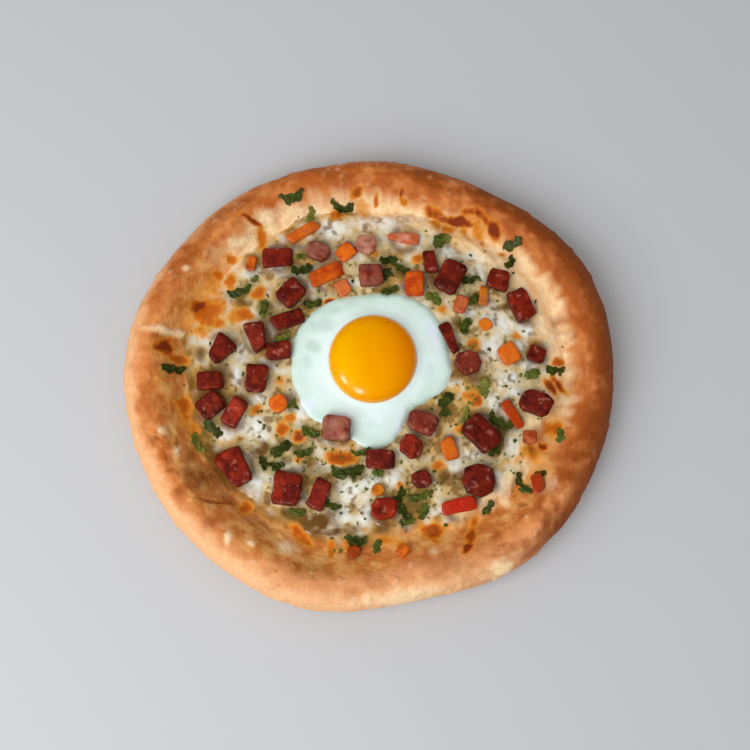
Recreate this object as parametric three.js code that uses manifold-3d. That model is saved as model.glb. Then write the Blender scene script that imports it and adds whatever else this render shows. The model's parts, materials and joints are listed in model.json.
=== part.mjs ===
// A round filled flatbread: a puffed bread rim round a shallow dish of melted cheese, with diced
// sausage and pepper, torn herb leaves and one fried egg in the middle.
// Millimetres, +Z up, +X to the right of the picture and +Y towards its top.

import * as THREE from 'three';
import { ConvexGeometry } from 'three/addons/geometries/ConvexGeometry.js';
import { mergeVertices } from 'three/addons/utils/BufferGeometryUtils.js';
import Module from 'manifold-3d';

const wasm = await Module();
wasm.setup();

// How places are read off the picture, a steep view from the front
const pictureSize = 750; // pixels
const pixelSize = 0.47; // millimetres for each pixel, at the distance of the aim
const aim = [3.1, 3.2, 10]; // what the picture's middle shows, from the middle of the bread
const viewDistance = 600;
const viewElevation = THREE.MathUtils.degToRad(81);

// Bread
const sides = 96; // steps round the bread
const meanRadius = 111.2;
const outlineWaves = [
  { count: 1, amount: 0.8, peak: 44 },
  { count: 2, amount: 4.5, peak: 4 },
  { count: 3, amount: 0.7, peak: 14 },
  { count: 4, amount: 0.3, peak: -42 },
  { count: 5, amount: 1.2, peak: 29 },
  { count: 6, amount: 0.5, peak: 16 },
  { count: 8, amount: 0.5, peak: -10 },
];
const crestHeight = 23;
const crestWaves = [
  { count: 2, amount: 0.9, peak: 200 },
  { count: 5, amount: 0.8, peak: 20 },
  { count: 9, amount: 0.6, peak: 11 },
  { count: 14, amount: 0.5, peak: 5 },
];
const rimWidth = 29.5; // from the outline to the foot of the inner slope
const rimWaves = [
  { count: 1, amount: 4.4, peak: 236 },
  { count: 3, amount: 0.8, peak: 60 },
  { count: 7, amount: 0.9, peak: 30 },
];
const crestShare = 0.4; // where the crest lies across the rim
const floorHeight = 8.5;
const widestHeight = 8;
const undersideInset = 9; // from the outline to the flat underside
const shoulder = 2.05; // exponent of the outer curve: 2 is a plain arc
const underSteps = 3; // steps of the curve from the underside to the widest level
const shoulderInsets = [0.03, 0.1, 0.21, 0.37]; // of the section's points, as shares of the rim's width
const slopeInsets = [0.52, 0.63, 0.73, 0.82, 0.91, 1];
const folds = [
  { at: 75, width: 3, depth: 1.6 },
  { at: 164, width: 3.2, depth: 2 },
  { at: 216, width: 3, depth: 1.8 },
  { at: 20, width: 3.5, depth: 1.2 },
];
const bumps = [
  { at: [184, 282], radius: 5, height: 0.9 },
  { at: [172, 316], radius: 5, height: 0.8 },
  { at: [163, 436], radius: 6, height: 1.1 },
  { at: [183, 452], radius: 5, height: 0.9 },
  { at: [200, 484], radius: 8, height: 1.7 },
  { at: [229, 537], radius: 6, height: 0.9 },
  { at: [256, 543], radius: 6, height: 0.9 },
  { at: [305, 572], radius: 8, height: 0.9 },
  { at: [450, 562], radius: 8, height: 0.8 },
  { at: [543, 520], radius: 9, height: 1.1 },
  { at: [585, 450], radius: 8, height: 0.9 },
  { at: [565, 290], radius: 9, height: 0.9 },
  { at: [470, 195], radius: 8, height: 0.8 },
  { at: [255, 210], radius: 8, height: 0.8 },
];
const bumpLevel = 19;
const swellHeight = 0.9;
const swellStrengths = [0.5, 0.35, 0.3]; // of the crossed, the diagonal and the slanting swell
const swellLengths = { across: 7.3, along: 8.1, diagonal: 5.2, slanting: 6.1 }; // for each radian
const swellStarts = { across: 1.1, along: -0.4, slanting: 0.8 };
const swellSlant = 1.4;
const bumpFall = 1.5; // a bump's radius, in widths of its bell
const reliefFade = 8; // height over which the relief grows to its full strength

// Cheese
const cheeseBorder = 0.8; // share of the rim's width that stays bare
const cheeseSides = 64;
const cheeseDepth = 3.6;
const cheeseEdge = 0.9; // thickness where it runs up the slope
const cornerBlend = 2.5; // width over which pool and slope run together
const cheeseLump = 0.75;
const cheeseLumpScale = 1.7; // its lumps against the dough's: the higher, the smaller
const slopeLumps = 0.3; // share of the lumps where it runs up the slope
const cheeseBase = 2; // lower than the floor, to be cut away by the bread
const borderWaves = [
  { count: 1, amount: 1.5, peak: 165 },
  { count: 3, amount: 0.8, peak: 165 },
  { count: 7, amount: 0.9, peak: 12 },
  { count: 11, amount: 0.8, peak: 3 },
];
const gap = 0.3; // kept between neighbouring solids

// Egg
const eggAt = [371, 370];
const whiteRadius = 37.2;
const whiteWaves = [
  { count: 1, amount: 3.4, peak: 105 },
  { count: 2, amount: 1.5, peak: 35 },
  { count: 3, amount: 2.1, peak: 29 },
  { count: 4, amount: 1.1, peak: 5 },
  { count: 5, amount: 1.7, peak: -10 },
  { count: 6, amount: 0.8, peak: -18 },
];
const whiteSides = 44;
const whiteLevel = 14.3;
const whiteEdgeDrop = 1.5;
const whiteEdgePower = 5; // the higher, the nearer to the border the white starts to drop
const ripple = { height: 0.25, scale: 0.8, from: 0.6, to: 0.8 }; // only towards the border
const yolkAt = [372.7, 358.3];
const yolkRadius = 20.9;
const yolkRise = 10.5;
const yolkOutline = 2; // height of its outline in the picture, over its foot
const yolkBulge = 0.92; // below 1 the dome is fuller than half an ellipsoid
const yolkRings = 6;
const yolkSides = 36;

// Diced sausage: long, wide and turn in plan, with the narrow end's share of the width as taper
const sausages = [
  { at: [277, 256], long: 15, wide: 8.8, turn: 3 },
  { at: [290, 291], long: 13.5, wide: 11.5, turn: 50 },
  { at: [288, 319], long: 16, wide: 7.5, turn: 20 },
  { at: [256, 336], long: 14.5, wide: 11.5, turn: -75, taper: 0.5 },
  { at: [220, 348], long: 14, wide: 12, turn: 230, taper: 0.45 },
  { at: [278, 350], long: 12.5, wide: 8.5, turn: 8 },
  { at: [256, 377], long: 14, wide: 10, turn: 83 },
  { at: [209, 380], long: 12.5, wide: 9.5, turn: 5, taper: 0.8 },
  { at: [209, 404], long: 12.5, wide: 11, turn: 38 },
  { at: [234, 411], long: 15, wide: 8.5, turn: 58 },
  { at: [234, 467], long: 18.5, wide: 14, turn: -58, taper: 0.8 },
  { at: [286, 488], long: 15.5, wide: 13.5, turn: 82 },
  { at: [319, 494], long: 15.5, wide: 8.5, turn: 68 },
  { at: [336, 427], long: 13, wide: 12.5, turn: -5 },
  { at: [366, 243], long: 10.5, wide: 8.5, turn: -20, corner: 0.26 },
  { at: [318, 250], long: 11.5, wide: 8.5, turn: -25, corner: 0.26 },
  { at: [371, 274], long: 11.5, wide: 11, turn: 10 },
  { at: [430, 261], long: 11.5, wide: 6, turn: -78 },
  { at: [450, 275], long: 15.5, wide: 11.5, turn: 62 },
  { at: [499, 278], long: 11.5, wide: 10.5, turn: -12 },
  { at: [522, 304], long: 16, wide: 10.5, turn: -68 },
  { at: [450, 337], long: 16.5, wide: 7, turn: -68, taper: 0.5 },
  { at: [468, 361], long: 11.8, wide: 11, turn: 20, corner: 0.27 },
  { at: [537, 353], long: 8.5, wide: 8, turn: -20 },
  { at: [537, 402], long: 15.5, wide: 12, turn: -20, corner: 0.24 },
  { at: [483, 433], long: 18, wide: 13, turn: -48 },
  { at: [480, 480], long: 16.5, wide: 15, turn: -20, corner: 0.29 },
  { at: [423, 421], long: 14.5, wide: 11, turn: -18, corner: 0.22 },
  { at: [412, 446], long: 12, wide: 10.5, turn: -40, corner: 0.28 },
  { at: [380, 459], long: 14, wide: 9.5, turn: -5 },
  { at: [422, 479], long: 9.5, wide: 9, turn: 0, corner: 0.29 },
  { at: [384, 508], long: 12.5, wide: 11, turn: 10, corner: 0.27 },
];

// Orange and red pepper, flatter than the sausage
const peppers = [
  { at: [303, 231], long: 17.5, wide: 5.5, turn: 33 },
  { at: [346, 251], long: 9, wide: 8, turn: 42 },
  { at: [326, 273], long: 17.5, wide: 8, turn: 28 },
  { at: [343, 287], long: 8, wide: 7.5, turn: -60 },
  { at: [403, 237], long: 16.5, wide: 7, turn: 174, taper: 0.4 },
  { at: [414, 283], long: 12.5, wide: 9.5, turn: 88 },
  { at: [461, 303], long: 8.5, wide: 6.5, turn: 70 },
  { at: [510, 353], long: 10.5, wide: 9.5, turn: -60 },
  { at: [278, 403], long: 9, wide: 8.8, turn: 0, corner: 0.29 },
  { at: [513, 414], long: 15.5, wide: 5, turn: -58 },
  { at: [450, 449], long: 11, wide: 7, turn: -70 },
  { at: [459, 505], long: 18, wide: 6.8, turn: 12 },
  { at: [530, 437], long: 7, wide: 6.5, turn: 0 },
  { at: [251, 263], long: 7.5, wide: 4.5, turn: 80 },
  { at: [538, 482], long: 9.5, wide: 5.5, turn: -75 },
  { at: [354, 552], long: 6.5, wide: 6, turn: 20, corner: 0.28 },
  { at: [486, 324], long: 6.5, wide: 6.3, turn: 0, corner: 0.29 },
  { at: [484, 294], long: 10.5, wide: 4.8, turn: 84 },
  { at: [378, 490], long: 6, wide: 5.5, turn: 10, corner: 0.28 },
  { at: [403, 551], long: 6.5, wide: 4.8, turn: 50 },
];
const sunkDepth = 1.6; // how far the pieces are sunk into the cheese
const footShare = 0.95; // a piece's plan at its foot, against its shoulder
const topShare = 0.84; // the same at its top
const shoulderAt = 0.74; // share of a piece's height at which it starts to narrow
const leanAtMost = 0.2; // slope of its top
const heightShare = { sausage: 0.58, pepper: 0.45 }; // height over the cheese, against width
const heightRange = [2.8, 7];
const unevenness = 0.09; // of its corners

// Torn herb leaves, thin and wavy
const leafLift = 0.45; // height of a leaf's edge over what it lies on
const leafArch = 0.5; // how far its midrib stands over the edge
const leafUnder = 0.95; // how far its underside bulges down, into what it lies on
const leafWave = 0.25;
const leafLevel = 13;
const clearance = 4; // from a leaf's middle to the border between cheese and bread
const leastLeaf = 2; // cubic millimetres, below which a cut-back leaf is left out
const leaves = [
  { at: [293, 200], long: 10, wide: 4.5, turn: 15 },
  { at: [311, 213], long: 6.5, wide: 4, turn: 75 },
  { at: [342, 206], long: 10, wide: 4.5, turn: -5 },
  { at: [302, 269], long: 8, wide: 5, turn: 10 },
  { at: [239, 291], long: 10, wide: 5, turn: 20 },
  { at: [313, 304], long: 7.5, wide: 5, turn: 10 },
  { at: [389, 260], long: 7.5, wide: 4.5, turn: 5 },
  { at: [401, 268], long: 7, wide: 4.5, turn: -20 },
  { at: [441, 240], long: 8.5, wide: 7.5, turn: 40 },
  { at: [511, 261], long: 7, wide: 4.5, turn: 70 },
  { at: [468, 281], long: 7, wide: 4.5, turn: 0 },
  { at: [433, 297], long: 7, wide: 5, turn: -30 },
  { at: [464, 325], long: 7.5, wide: 5.5, turn: 60 },
  { at: [485, 387], long: 7, wide: 5.5, turn: 80 },
  { at: [466, 415], long: 7.5, wide: 3, turn: 65 },
  { at: [447, 398], long: 7.5, wide: 5.5, turn: 40 },
  { at: [502, 421], long: 9, wide: 5.5, turn: -30 },
  { at: [500, 450], long: 8.5, wide: 5.5, turn: 70 },
  { at: [523, 484], long: 10, wide: 4.5, turn: -55 },
  { at: [400, 496], long: 8, wide: 5.5, turn: 60 },
  { at: [418, 497], long: 8.5, wide: 5, turn: 15 },
  { at: [405, 513], long: 8, wide: 5, turn: -60 },
  { at: [356, 541], long: 9, wide: 4.5, turn: 0 },
  { at: [281, 449], long: 9.5, wide: 6.5, turn: 35 },
  { at: [271, 464], long: 11, wide: 4.5, turn: -15 },
  { at: [348, 472], long: 14, wide: 5, turn: 3 },
  { at: [309, 430], long: 8.5, wide: 4.5, turn: -30 },
  { at: [212, 430], long: 8, wide: 5.5, turn: -40 },
  { at: [197, 443], long: 8.5, wide: 4.5, turn: -65 },
  { at: [333, 506], long: 7.5, wide: 4, turn: -20 },
  { at: [557, 370], long: 9, wide: 4.5, turn: 5 },
  { at: [560, 435], long: 7, wide: 4.5, turn: 80 },
  { at: [175, 369], long: 8.5, wide: 4.5, turn: 0 },
];

const sum = (values) => values.reduce((total, value) => total + value, 0);
const cosine = (degrees) => Math.cos(THREE.MathUtils.degToRad(degrees));
const wavesAt = (waves, degrees) =>
  sum(waves.map(({ count, amount, peak }) => amount * cosine(count * (degrees - peak))));
const outline = (degrees) => meanRadius + wavesAt(outlineWaves, degrees);
const crest = (degrees) => crestHeight + wavesAt(crestWaves, degrees);
const rim = (degrees) => rimWidth + wavesAt(rimWaves, degrees);
const degreesOf = (x, y) => THREE.MathUtils.radToDeg(Math.atan2(y, x));
const smoother = (share) => share * share * (3 - 2 * share);
const rise = (from, to, value) => smoother(THREE.MathUtils.clamp((value - from) / (to - from), 0, 1));

// The higher of two levels, with the corner between them rounded over a width
function roundedMax(a, b, width) {
  const blend = Math.max(width - Math.abs(a - b), 0) / width;
  return Math.max(a, b) + blend * blend * width / 4;
}

// The point at a height that a pixel of the picture shows: a ray from the eye, cut at that height
function placeOf([column, row], height) {
  const across = (column - pictureSize / 2) * pixelSize;
  const up = (pictureSize / 2 - row) * pixelSize;
  const drop = viewDistance * Math.sin(viewElevation);
  const ahead = viewDistance * Math.cos(viewElevation);
  const share = (aim[2] + drop - height) / (drop - up * Math.cos(viewElevation));
  const x = aim[0] + share * across;
  const y = aim[1] - ahead + share * (ahead + up * Math.sin(viewElevation));
  return [x, y];
}

// Slow swells of the dough, of about one unit either way
function swell(x, y) {
  const across = Math.sin(x / swellLengths.across + swellStarts.across);
  const along = Math.cos(y / swellLengths.along + swellStarts.along);
  const diagonal = Math.sin((x + y) / swellLengths.diagonal);
  const slanting = Math.cos((x - swellSlant * y) / swellLengths.slanting + swellStarts.slanting);
  const [crossedShare, diagonalShare, slantingShare] = swellStrengths;
  return crossedShare * across * along + diagonalShare * diagonal + slantingShare * slanting;
}

// Blisters of the dough: low round domes
function blisters(x, y) {
  return sum(bumps.map(({ at, radius, height }) => {
    const [cx, cy] = placeOf(at, bumpLevel);
    return height * Math.exp(-(((x - cx) ** 2 + (y - cy) ** 2) / (radius / bumpFall) ** 2));
  }));
}

// How far the dough stands above its plain form, fading out towards its widest level
const doughRelief = (x, y, height) =>
  rise(widestHeight, widestHeight + reliefFade, height) * (swellHeight * swell(x, y) + blisters(x, y));

// How far a fold pinched into the rim lies under the plain crest
function foldDepth(degrees) {
  return sum(folds.map(({ at, width, depth }) => {
    const away = ((degrees - at + 540) % 360) - 180;
    return depth * Math.exp(-((away / width) ** 2));
  }));
}

// The bread's upper face at an inset from the outline: a shoulder up to the crest, then a slope down
function breadTop(inset, degrees) {
  const width = rim(degrees);
  const crestInset = crestShare * width;
  const top = crest(degrees);
  if (inset <= crestInset) {
    const share = 1 - Math.max(inset, 0) / crestInset;
    return widestHeight + (top - widestHeight) * (1 - share ** shoulder) ** (1 / shoulder);
  }
  const down = rise(crestInset, width, inset);
  return top - (top - floorHeight) * down - foldDepth(degrees) * Math.sin(Math.PI * down);
}

// A closed skin over a stack of rings with as many points each, shut by a point at both ends
function skin(rings, firstPole, lastPole) {
  const count = rings[0].length;
  const points = [firstPole, ...rings.flat(), lastPole];
  const index = [];
  for (let i = 0; i < count; i += 1) {
    const next = (i + 1) % count;
    index.push(0, 1 + next, 1 + i);
    for (let level = 0; level + 1 < rings.length; level += 1) {
      const low = 1 + level * count;
      const high = low + count;
      index.push(low + i, low + next, high + next, low + i, high + next, high + i);
    }
    const last = 1 + (rings.length - 1) * count;
    index.push(last + i, last + next, points.length - 1);
  }
  const geometry = new THREE.BufferGeometry();
  geometry.setAttribute('position', new THREE.Float32BufferAttribute(points.flat(), 3));
  geometry.setIndex(index);
  return geometry;
}

// A three.js geometry as a solid that can be joined and cut
function solidOf(geometry) {
  const bare = geometry.clone();
  bare.deleteAttribute('normal');
  bare.deleteAttribute('uv');
  const merged = mergeVertices(bare, 1e-4);
  return new wasm.Manifold(new wasm.Mesh({
    numProp: 3,
    vertProperties: new Float32Array(merged.getAttribute('position').array),
    triVerts: new Uint32Array(merged.index.array),
  }));
}

// A solid's largest body as a geometry about its own middle, with that middle
function geometryOf(solid) {
  const body = solid.decompose().reduce((a, b) => (a.volume() > b.volume() ? a : b));
  const mesh = body.getMesh();
  const geometry = new THREE.BufferGeometry();
  geometry.setAttribute('position', new THREE.BufferAttribute(mesh.vertProperties, 3));
  geometry.setIndex(new THREE.BufferAttribute(mesh.triVerts, 1));
  geometry.computeBoundingBox();
  const middle = geometry.boundingBox.getCenter(new THREE.Vector3());
  geometry.translate(-middle.x, -middle.y, -middle.z);
  return { geometry, middle };
}

// One section of the bread at a bearing, from the flat underside out, up and over to the floor
function breadSection(degrees) {
  const radius = outline(degrees);
  const width = rim(degrees);
  const section = [];
  for (let step = 0; step <= underSteps; step += 1) {
    const bend = (step / underSteps) * Math.PI / 2;
    section.push([undersideInset * (1 - Math.sin(bend)), widestHeight * (1 - Math.cos(bend))]);
  }
  for (const share of [...shoulderInsets, ...slopeInsets]) {
    section.push([share * width, breadTop(share * width, degrees)]);
  }
  return section.map(([inset, height]) => {
    const bearing = THREE.MathUtils.degToRad(degrees);
    const x = (radius - inset) * Math.cos(bearing);
    const y = (radius - inset) * Math.sin(bearing);
    return [x, y, height + doughRelief(x, y, height)];
  });
}

function breadSolid() {
  const sections = Array.from({ length: sides }, (_, i) => breadSection(i * 360 / sides));
  const rings = sections[0].map((_, level) => sections.map((section) => section[level]));
  return solidOf(skin(rings, [0, 0, 0], [0, 0, floorHeight]));
}

// A solid under a height field, inside a border given about a middle, down to a flat base
function fieldSolid(middle, border, top, base, shares, steps) {
  const ringAt = (share, height) => Array.from({ length: steps }, (_, i) => {
    const degrees = i * 360 / steps;
    const radius = border(degrees) * share;
    const x = middle[0] + radius * Math.cos(THREE.MathUtils.degToRad(degrees));
    const y = middle[1] + radius * Math.sin(THREE.MathUtils.degToRad(degrees));
    return [x, y, height ?? top(x, y)];
  });
  const rings = [ringAt(1, base), ...shares.map((share) => ringAt(share))];
  return solidOf(skin(rings, [...middle, base], [...middle, top(...middle)]));
}

const eggMiddle = placeOf(eggAt, whiteLevel);
const whiteBorder = (degrees) => whiteRadius + wavesAt(whiteWaves, degrees);

// 1 under the egg, where the cheese lies flat, fading to 0 some way outside it
const flatMargin = [3, 10];
function underEgg(x, y) {
  const away = [x - eggMiddle[0], y - eggMiddle[1]];
  return 1 - rise(...flatMargin, Math.hypot(...away) - whiteBorder(degreesOf(...away)));
}

// The cheese's upper face: a lumpy pool on the floor that runs thin up the inner slope
function cheeseTop(x, y) {
  const degrees = degreesOf(x, y);
  const inset = outline(degrees) - Math.hypot(x, y);
  const lumps = cheeseLump * swell(cheeseLumpScale * x, cheeseLumpScale * y);
  const pool = floorHeight + cheeseDepth + lumps * (1 - underEgg(x, y));
  const dough = breadTop(Math.min(inset, rim(degrees)), degrees);
  const slope = dough + doughRelief(x, y, dough) + cheeseEdge + slopeLumps * lumps + gap;
  return roundedMax(pool, slope, cornerBlend);
}

const cheeseOuter = (degrees) =>
  outline(degrees) - cheeseBorder * rim(degrees) + wavesAt(borderWaves, degrees);
const cheeseShares = [1, 0.955, 0.9, 0.83, 0.75, 0.67, 0.59, 0.5, 0.35];

// The cheese's field, lifted by a clearance and with its rim widened by as much
function cheeseField(lift, base) {
  const border = (degrees) => cheeseOuter(degrees) + lift;
  const top = (x, y) => cheeseTop(x, y) + lift;
  return fieldSolid([0, 0], border, top, base, cheeseShares, cheeseSides);
}

function whiteTop(x, y) {
  const away = [x - eggMiddle[0], y - eggMiddle[1]];
  const share = Math.hypot(...away) / whiteBorder(degreesOf(...away));
  const outward = rise(ripple.from, ripple.to, share);
  const waves = ripple.height * outward * swell(ripple.scale * x, ripple.scale * y);
  return whiteLevel - whiteEdgeDrop * Math.min(share, 1) ** whiteEdgePower + waves;
}

const whiteShares = [1, 0.94, 0.82, 0.6];

function whiteField(lift, base) {
  const border = (degrees) => whiteBorder(degrees) + lift;
  const top = (x, y) => whiteTop(x, y) + lift;
  return fieldSolid(eggMiddle, border, top, base, whiteShares, whiteSides);
}

// The yolk: a full dome with a flat foot on the white
function yolkSolid() {
  const foot = whiteLevel + gap;
  const middle = placeOf(yolkAt, foot + yolkOutline);
  const rings = Array.from({ length: yolkRings }, (_, level) => {
    const bend = (level / yolkRings) * Math.PI / 2;
    const radius = yolkRadius * Math.cos(bend) ** yolkBulge;
    const height = foot + yolkRise * Math.sin(bend);
    return Array.from({ length: yolkSides }, (__, i) => {
      const turn = i * Math.PI * 2 / yolkSides;
      return [middle[0] + radius * Math.cos(turn), middle[1] + radius * Math.sin(turn), height];
    });
  });
  return solidOf(skin(rings, [...middle, foot], [...middle, foot + yolkRise]));
}

// Small repeatable irregularity, from -1 to 1, for one number
const irregular = (seed) => 2 * ((Math.sin(seed * 12.9898) * 43758.5453) % 1 + 1) % 2 - 1;

// The eight corners in plan of a cut piece, going round, with uneven sides
function planOf({ long, wide, taper = 1, corner = 0.14 }, seed) {
  const cut = corner * Math.min(long, wide);
  const ends = [[long / 2, wide / 2 - cut], [long / 2 - cut, wide / 2]];
  const corners = [[1, 1], [-1, 1], [-1, -1], [1, -1]].flatMap(([sx, sy]) => {
    const pair = ends.map(([x, y]) => [sx * x, sy * y]);
    return sx === sy ? pair : pair.reverse();
  });
  return corners.map(([x, y], i) => {
    const uneven = 1 + unevenness * irregular(seed + i);
    const narrow = THREE.MathUtils.lerp(1, taper, x / long + 0.5);
    return [x * uneven, y * narrow * uneven];
  });
}

// The level that cut pieces stand on: the cheese, or the egg white where that covers it
function groundTop(x, y) {
  const away = [x - eggMiddle[0], y - eggMiddle[1]];
  const onEgg = Math.hypot(...away) < whiteBorder(degreesOf(...away));
  return onEgg ? whiteTop(x, y) : cheeseTop(x, y);
}

// A cut piece as the hull of three rings: foot, shoulder and a smaller, leaning top
function chunkSolid(piece, tall, grow, seed) {
  const ground = groundTop(...placeOf(piece.at, floorHeight + cheeseDepth));
  const middle = placeOf(piece.at, ground + tall);
  const lean = [leanAtMost * irregular(seed + 20), leanAtMost * irregular(seed + 21)];
  const ring = (share, height, leaning) => planOf(piece, seed).map(([px, py]) => {
    const length = Math.hypot(px, py);
    const x = px * share * (1 + grow / length);
    const y = py * share * (1 + grow / length);
    return new THREE.Vector3(x, y, height + leaning * (lean[0] * x + lean[1] * y));
  });
  const geometry = new ConvexGeometry([
    ...ring(footShare, -sunkDepth - grow, 0),
    ...ring(1, shoulderAt * tall, 1),
    ...ring(topShare, tall + grow, 1),
  ]);
  geometry.rotateZ(THREE.MathUtils.degToRad(piece.turn));
  geometry.translate(middle[0], middle[1], ground);
  return solidOf(geometry);
}

// A leaf: eight points round a lens, with the midrib's two points raised above and below it
function leafSolid({ at, long, wide, turn }, seed, levelAt) {
  const middle = placeOf(at, leafLevel);
  const bearing = THREE.MathUtils.degToRad(turn);
  const stations = [-0.5, -0.2, 0.2, 0.5].map((share) => share * long);
  const spread = [0, 0.5, 0.45, 0].map((share) => share * wide);
  const world = (along, across, lift) => {
    const x = middle[0] + along * Math.cos(bearing) - across * Math.sin(bearing);
    const y = middle[1] + along * Math.sin(bearing) + across * Math.cos(bearing);
    const wave = leafWave * Math.sin(3 * along / long * Math.PI + seed);
    return [x, y, levelAt(x, y) + lift + wave];
  };
  const nearEdge = [0, 1, 2, 3].map((i) => world(stations[i], -spread[i], leafLift));
  const farEdge = [2, 1].map((i) => world(stations[i], spread[i], leafLift));
  const upper = [1, 2].map((i) => world(stations[i], 0, leafLift + leafArch));
  const lower = [1, 2].map((i) => world(stations[i], 0, leafLift - leafUnder));
  const points = [...nearEdge, ...farEdge, ...upper, ...lower];
  const half = (a, b) => [
    [0, 1, a], [1, 2, b], [1, b, a], [2, 3, b],
    [3, 4, b], [4, 5, a], [4, a, b], [5, 0, a],
  ];
  const faces = [...half(6, 7), ...half(8, 9).map(([p, q, r]) => [p, r, q])];
  const geometry = new THREE.BufferGeometry();
  geometry.setAttribute('position', new THREE.Float32BufferAttribute(points.flat(), 3));
  geometry.setIndex(faces.flat());
  return solidOf(geometry);
}

const colours = {
  crust: { color: 0xcf8a55, roughness: 0.75 },
  cheese: { color: 0xe9dcb8, roughness: 0.4 },
  white: { color: 0xe6efe6, roughness: 0.25 },
  yolk: { color: 0xf7a50a, roughness: 0.2 },
  sausage: { color: 0x7d211c, roughness: 0.4 },
  pepper: { color: 0xdd5a1c, roughness: 0.35 },
};

const numbered = (i) => String(i + 1).padStart(2, '0');
const pide = new THREE.Group();

function addNode(name, solid, finish) {
  const { geometry, middle } = geometryOf(solid);
  const material = new THREE.MeshStandardMaterial({ ...colours[finish], metalness: 0 });
  const mesh = new THREE.Mesh(geometry, material);
  mesh.name = name;
  mesh.position.copy(middle);
  pide.add(mesh);
}

// Every solid is cut back from the one below it, lifted by the gap
const bread = breadSolid();
const breadBed = bread.translate([0, 0, gap]);
const cheeseBed = cheeseField(gap, cheeseBase);
const eggBed = whiteField(gap, cheeseBase);

// Cut pieces in the order they were laid, each cut back from those before it
const pieces = [
  ...sausages.map((piece, i) => ({ name: `sausage_${numbered(i)}`, piece, finish: 'sausage' })),
  ...peppers.map((piece, i) => ({ name: `pepper_${numbered(i)}`, piece, finish: 'pepper' })),
];
const sockets = [];
const nearPixels = 60; // farther apart, two pieces can't touch
for (const [order, { name, piece, finish }] of pieces.entries()) {
  const tall = THREE.MathUtils.clamp(heightShare[finish] * piece.wide, ...heightRange);
  const seed = 31 * (order + 1);
  const isNear = ({ at }) => Math.hypot(at[0] - piece.at[0], at[1] - piece.at[1]) < nearPixels;
  const neighbours = sockets.filter(isNear);
  const solid = wasm.Manifold.difference([
    chunkSolid(piece, tall, 0, seed),
    breadBed,
    ...neighbours.map(({ socket }) => socket),
  ]);
  sockets.push({ at: piece.at, socket: chunkSolid(piece, tall, gap, seed) });
  addNode(name, solid, finish);
}
const allSockets = wasm.Manifold.union(sockets.map(({ socket }) => socket));

// Leaves are fused to whichever of cheese and bread they lie on, clear of the cut pieces
function fuseLeaves(body, belongs, levelAt) {
  const fused = leaves.map((leaf, order) => {
    const [x, y] = placeOf(leaf.at, leafLevel);
    const beyond = Math.hypot(x, y) - cheeseOuter(degreesOf(x, y));
    if (!belongs(beyond)) return null;
    const parts = leafSolid(leaf, order, levelAt).subtract(allSockets).subtract(eggBed).decompose();
    const largest = parts.reduce((a, b) => (a.volume() > b.volume() ? a : b));
    return largest.volume() > leastLeaf ? largest : null;
  }).filter((leaf) => leaf);
  return wasm.Manifold.union([body, ...fused]);
}
const onBread = (x, y) => {
  const degrees = degreesOf(x, y);
  const dough = breadTop(outline(degrees) - Math.hypot(x, y), degrees);
  return dough + doughRelief(x, y, dough);
};
const cheese = cheeseField(0, cheeseBase).subtract(breadBed).subtract(allSockets);
addNode('crust', fuseLeaves(bread, (beyond) => beyond > clearance, onBread), 'crust');
addNode('cheese', fuseLeaves(cheese, (beyond) => beyond < -clearance, cheeseTop), 'cheese');
const whiteBase = floorHeight + cheeseDepth + gap;
addNode('egg_white', whiteField(0, whiteBase).subtract(cheeseBed).subtract(allSockets), 'white');
addNode('egg_yolk', yolkSolid(), 'yolk');

// The origin is the middle of the bread's outline, on the surface it lies on
const outlinePoints = Array.from({ length: sides }, (_, i) => {
  const degrees = i * 360 / sides;
  const bearing = THREE.MathUtils.degToRad(degrees);
  return new THREE.Vector2(Math.cos(bearing), Math.sin(bearing)).multiplyScalar(outline(degrees));
});
const middle = new THREE.Box2().setFromPoints(outlinePoints).getCenter(new THREE.Vector2());
pide.position.set(-middle.x, -middle.y, 0);

export default pide;
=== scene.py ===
import json
import math

import bmesh
import bpy
import numpy as np
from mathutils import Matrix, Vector


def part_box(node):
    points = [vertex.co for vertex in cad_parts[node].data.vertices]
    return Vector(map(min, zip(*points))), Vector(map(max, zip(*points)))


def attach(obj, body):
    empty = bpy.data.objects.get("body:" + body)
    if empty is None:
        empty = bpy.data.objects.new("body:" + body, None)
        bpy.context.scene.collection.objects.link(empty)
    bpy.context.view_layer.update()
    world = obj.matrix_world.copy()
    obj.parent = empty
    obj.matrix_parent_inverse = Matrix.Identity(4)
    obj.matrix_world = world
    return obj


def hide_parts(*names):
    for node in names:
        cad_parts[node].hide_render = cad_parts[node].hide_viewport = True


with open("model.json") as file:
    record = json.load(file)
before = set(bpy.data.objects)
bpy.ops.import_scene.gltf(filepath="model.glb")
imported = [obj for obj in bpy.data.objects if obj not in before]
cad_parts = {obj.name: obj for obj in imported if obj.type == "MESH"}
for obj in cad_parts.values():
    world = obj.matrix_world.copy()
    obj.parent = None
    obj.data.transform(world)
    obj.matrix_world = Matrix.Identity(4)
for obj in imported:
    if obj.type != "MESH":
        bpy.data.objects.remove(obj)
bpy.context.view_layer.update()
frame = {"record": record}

print("frame loaded")

# Shapes are worked out in millimetres about the bread's own middle and brought
# into the frame, in metres, as each mesh is made. Places are pixels of the picture.
picture = {
    "width": 750,
    "pixelSize": 0.47,  # millimetres at the distance of the aim
    "aim": (3.1, 3.2, 10.0),  # what the picture's middle shows, from the middle of the bread
    "distance": 600.0,
    "elevation": 81.0,
}


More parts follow.
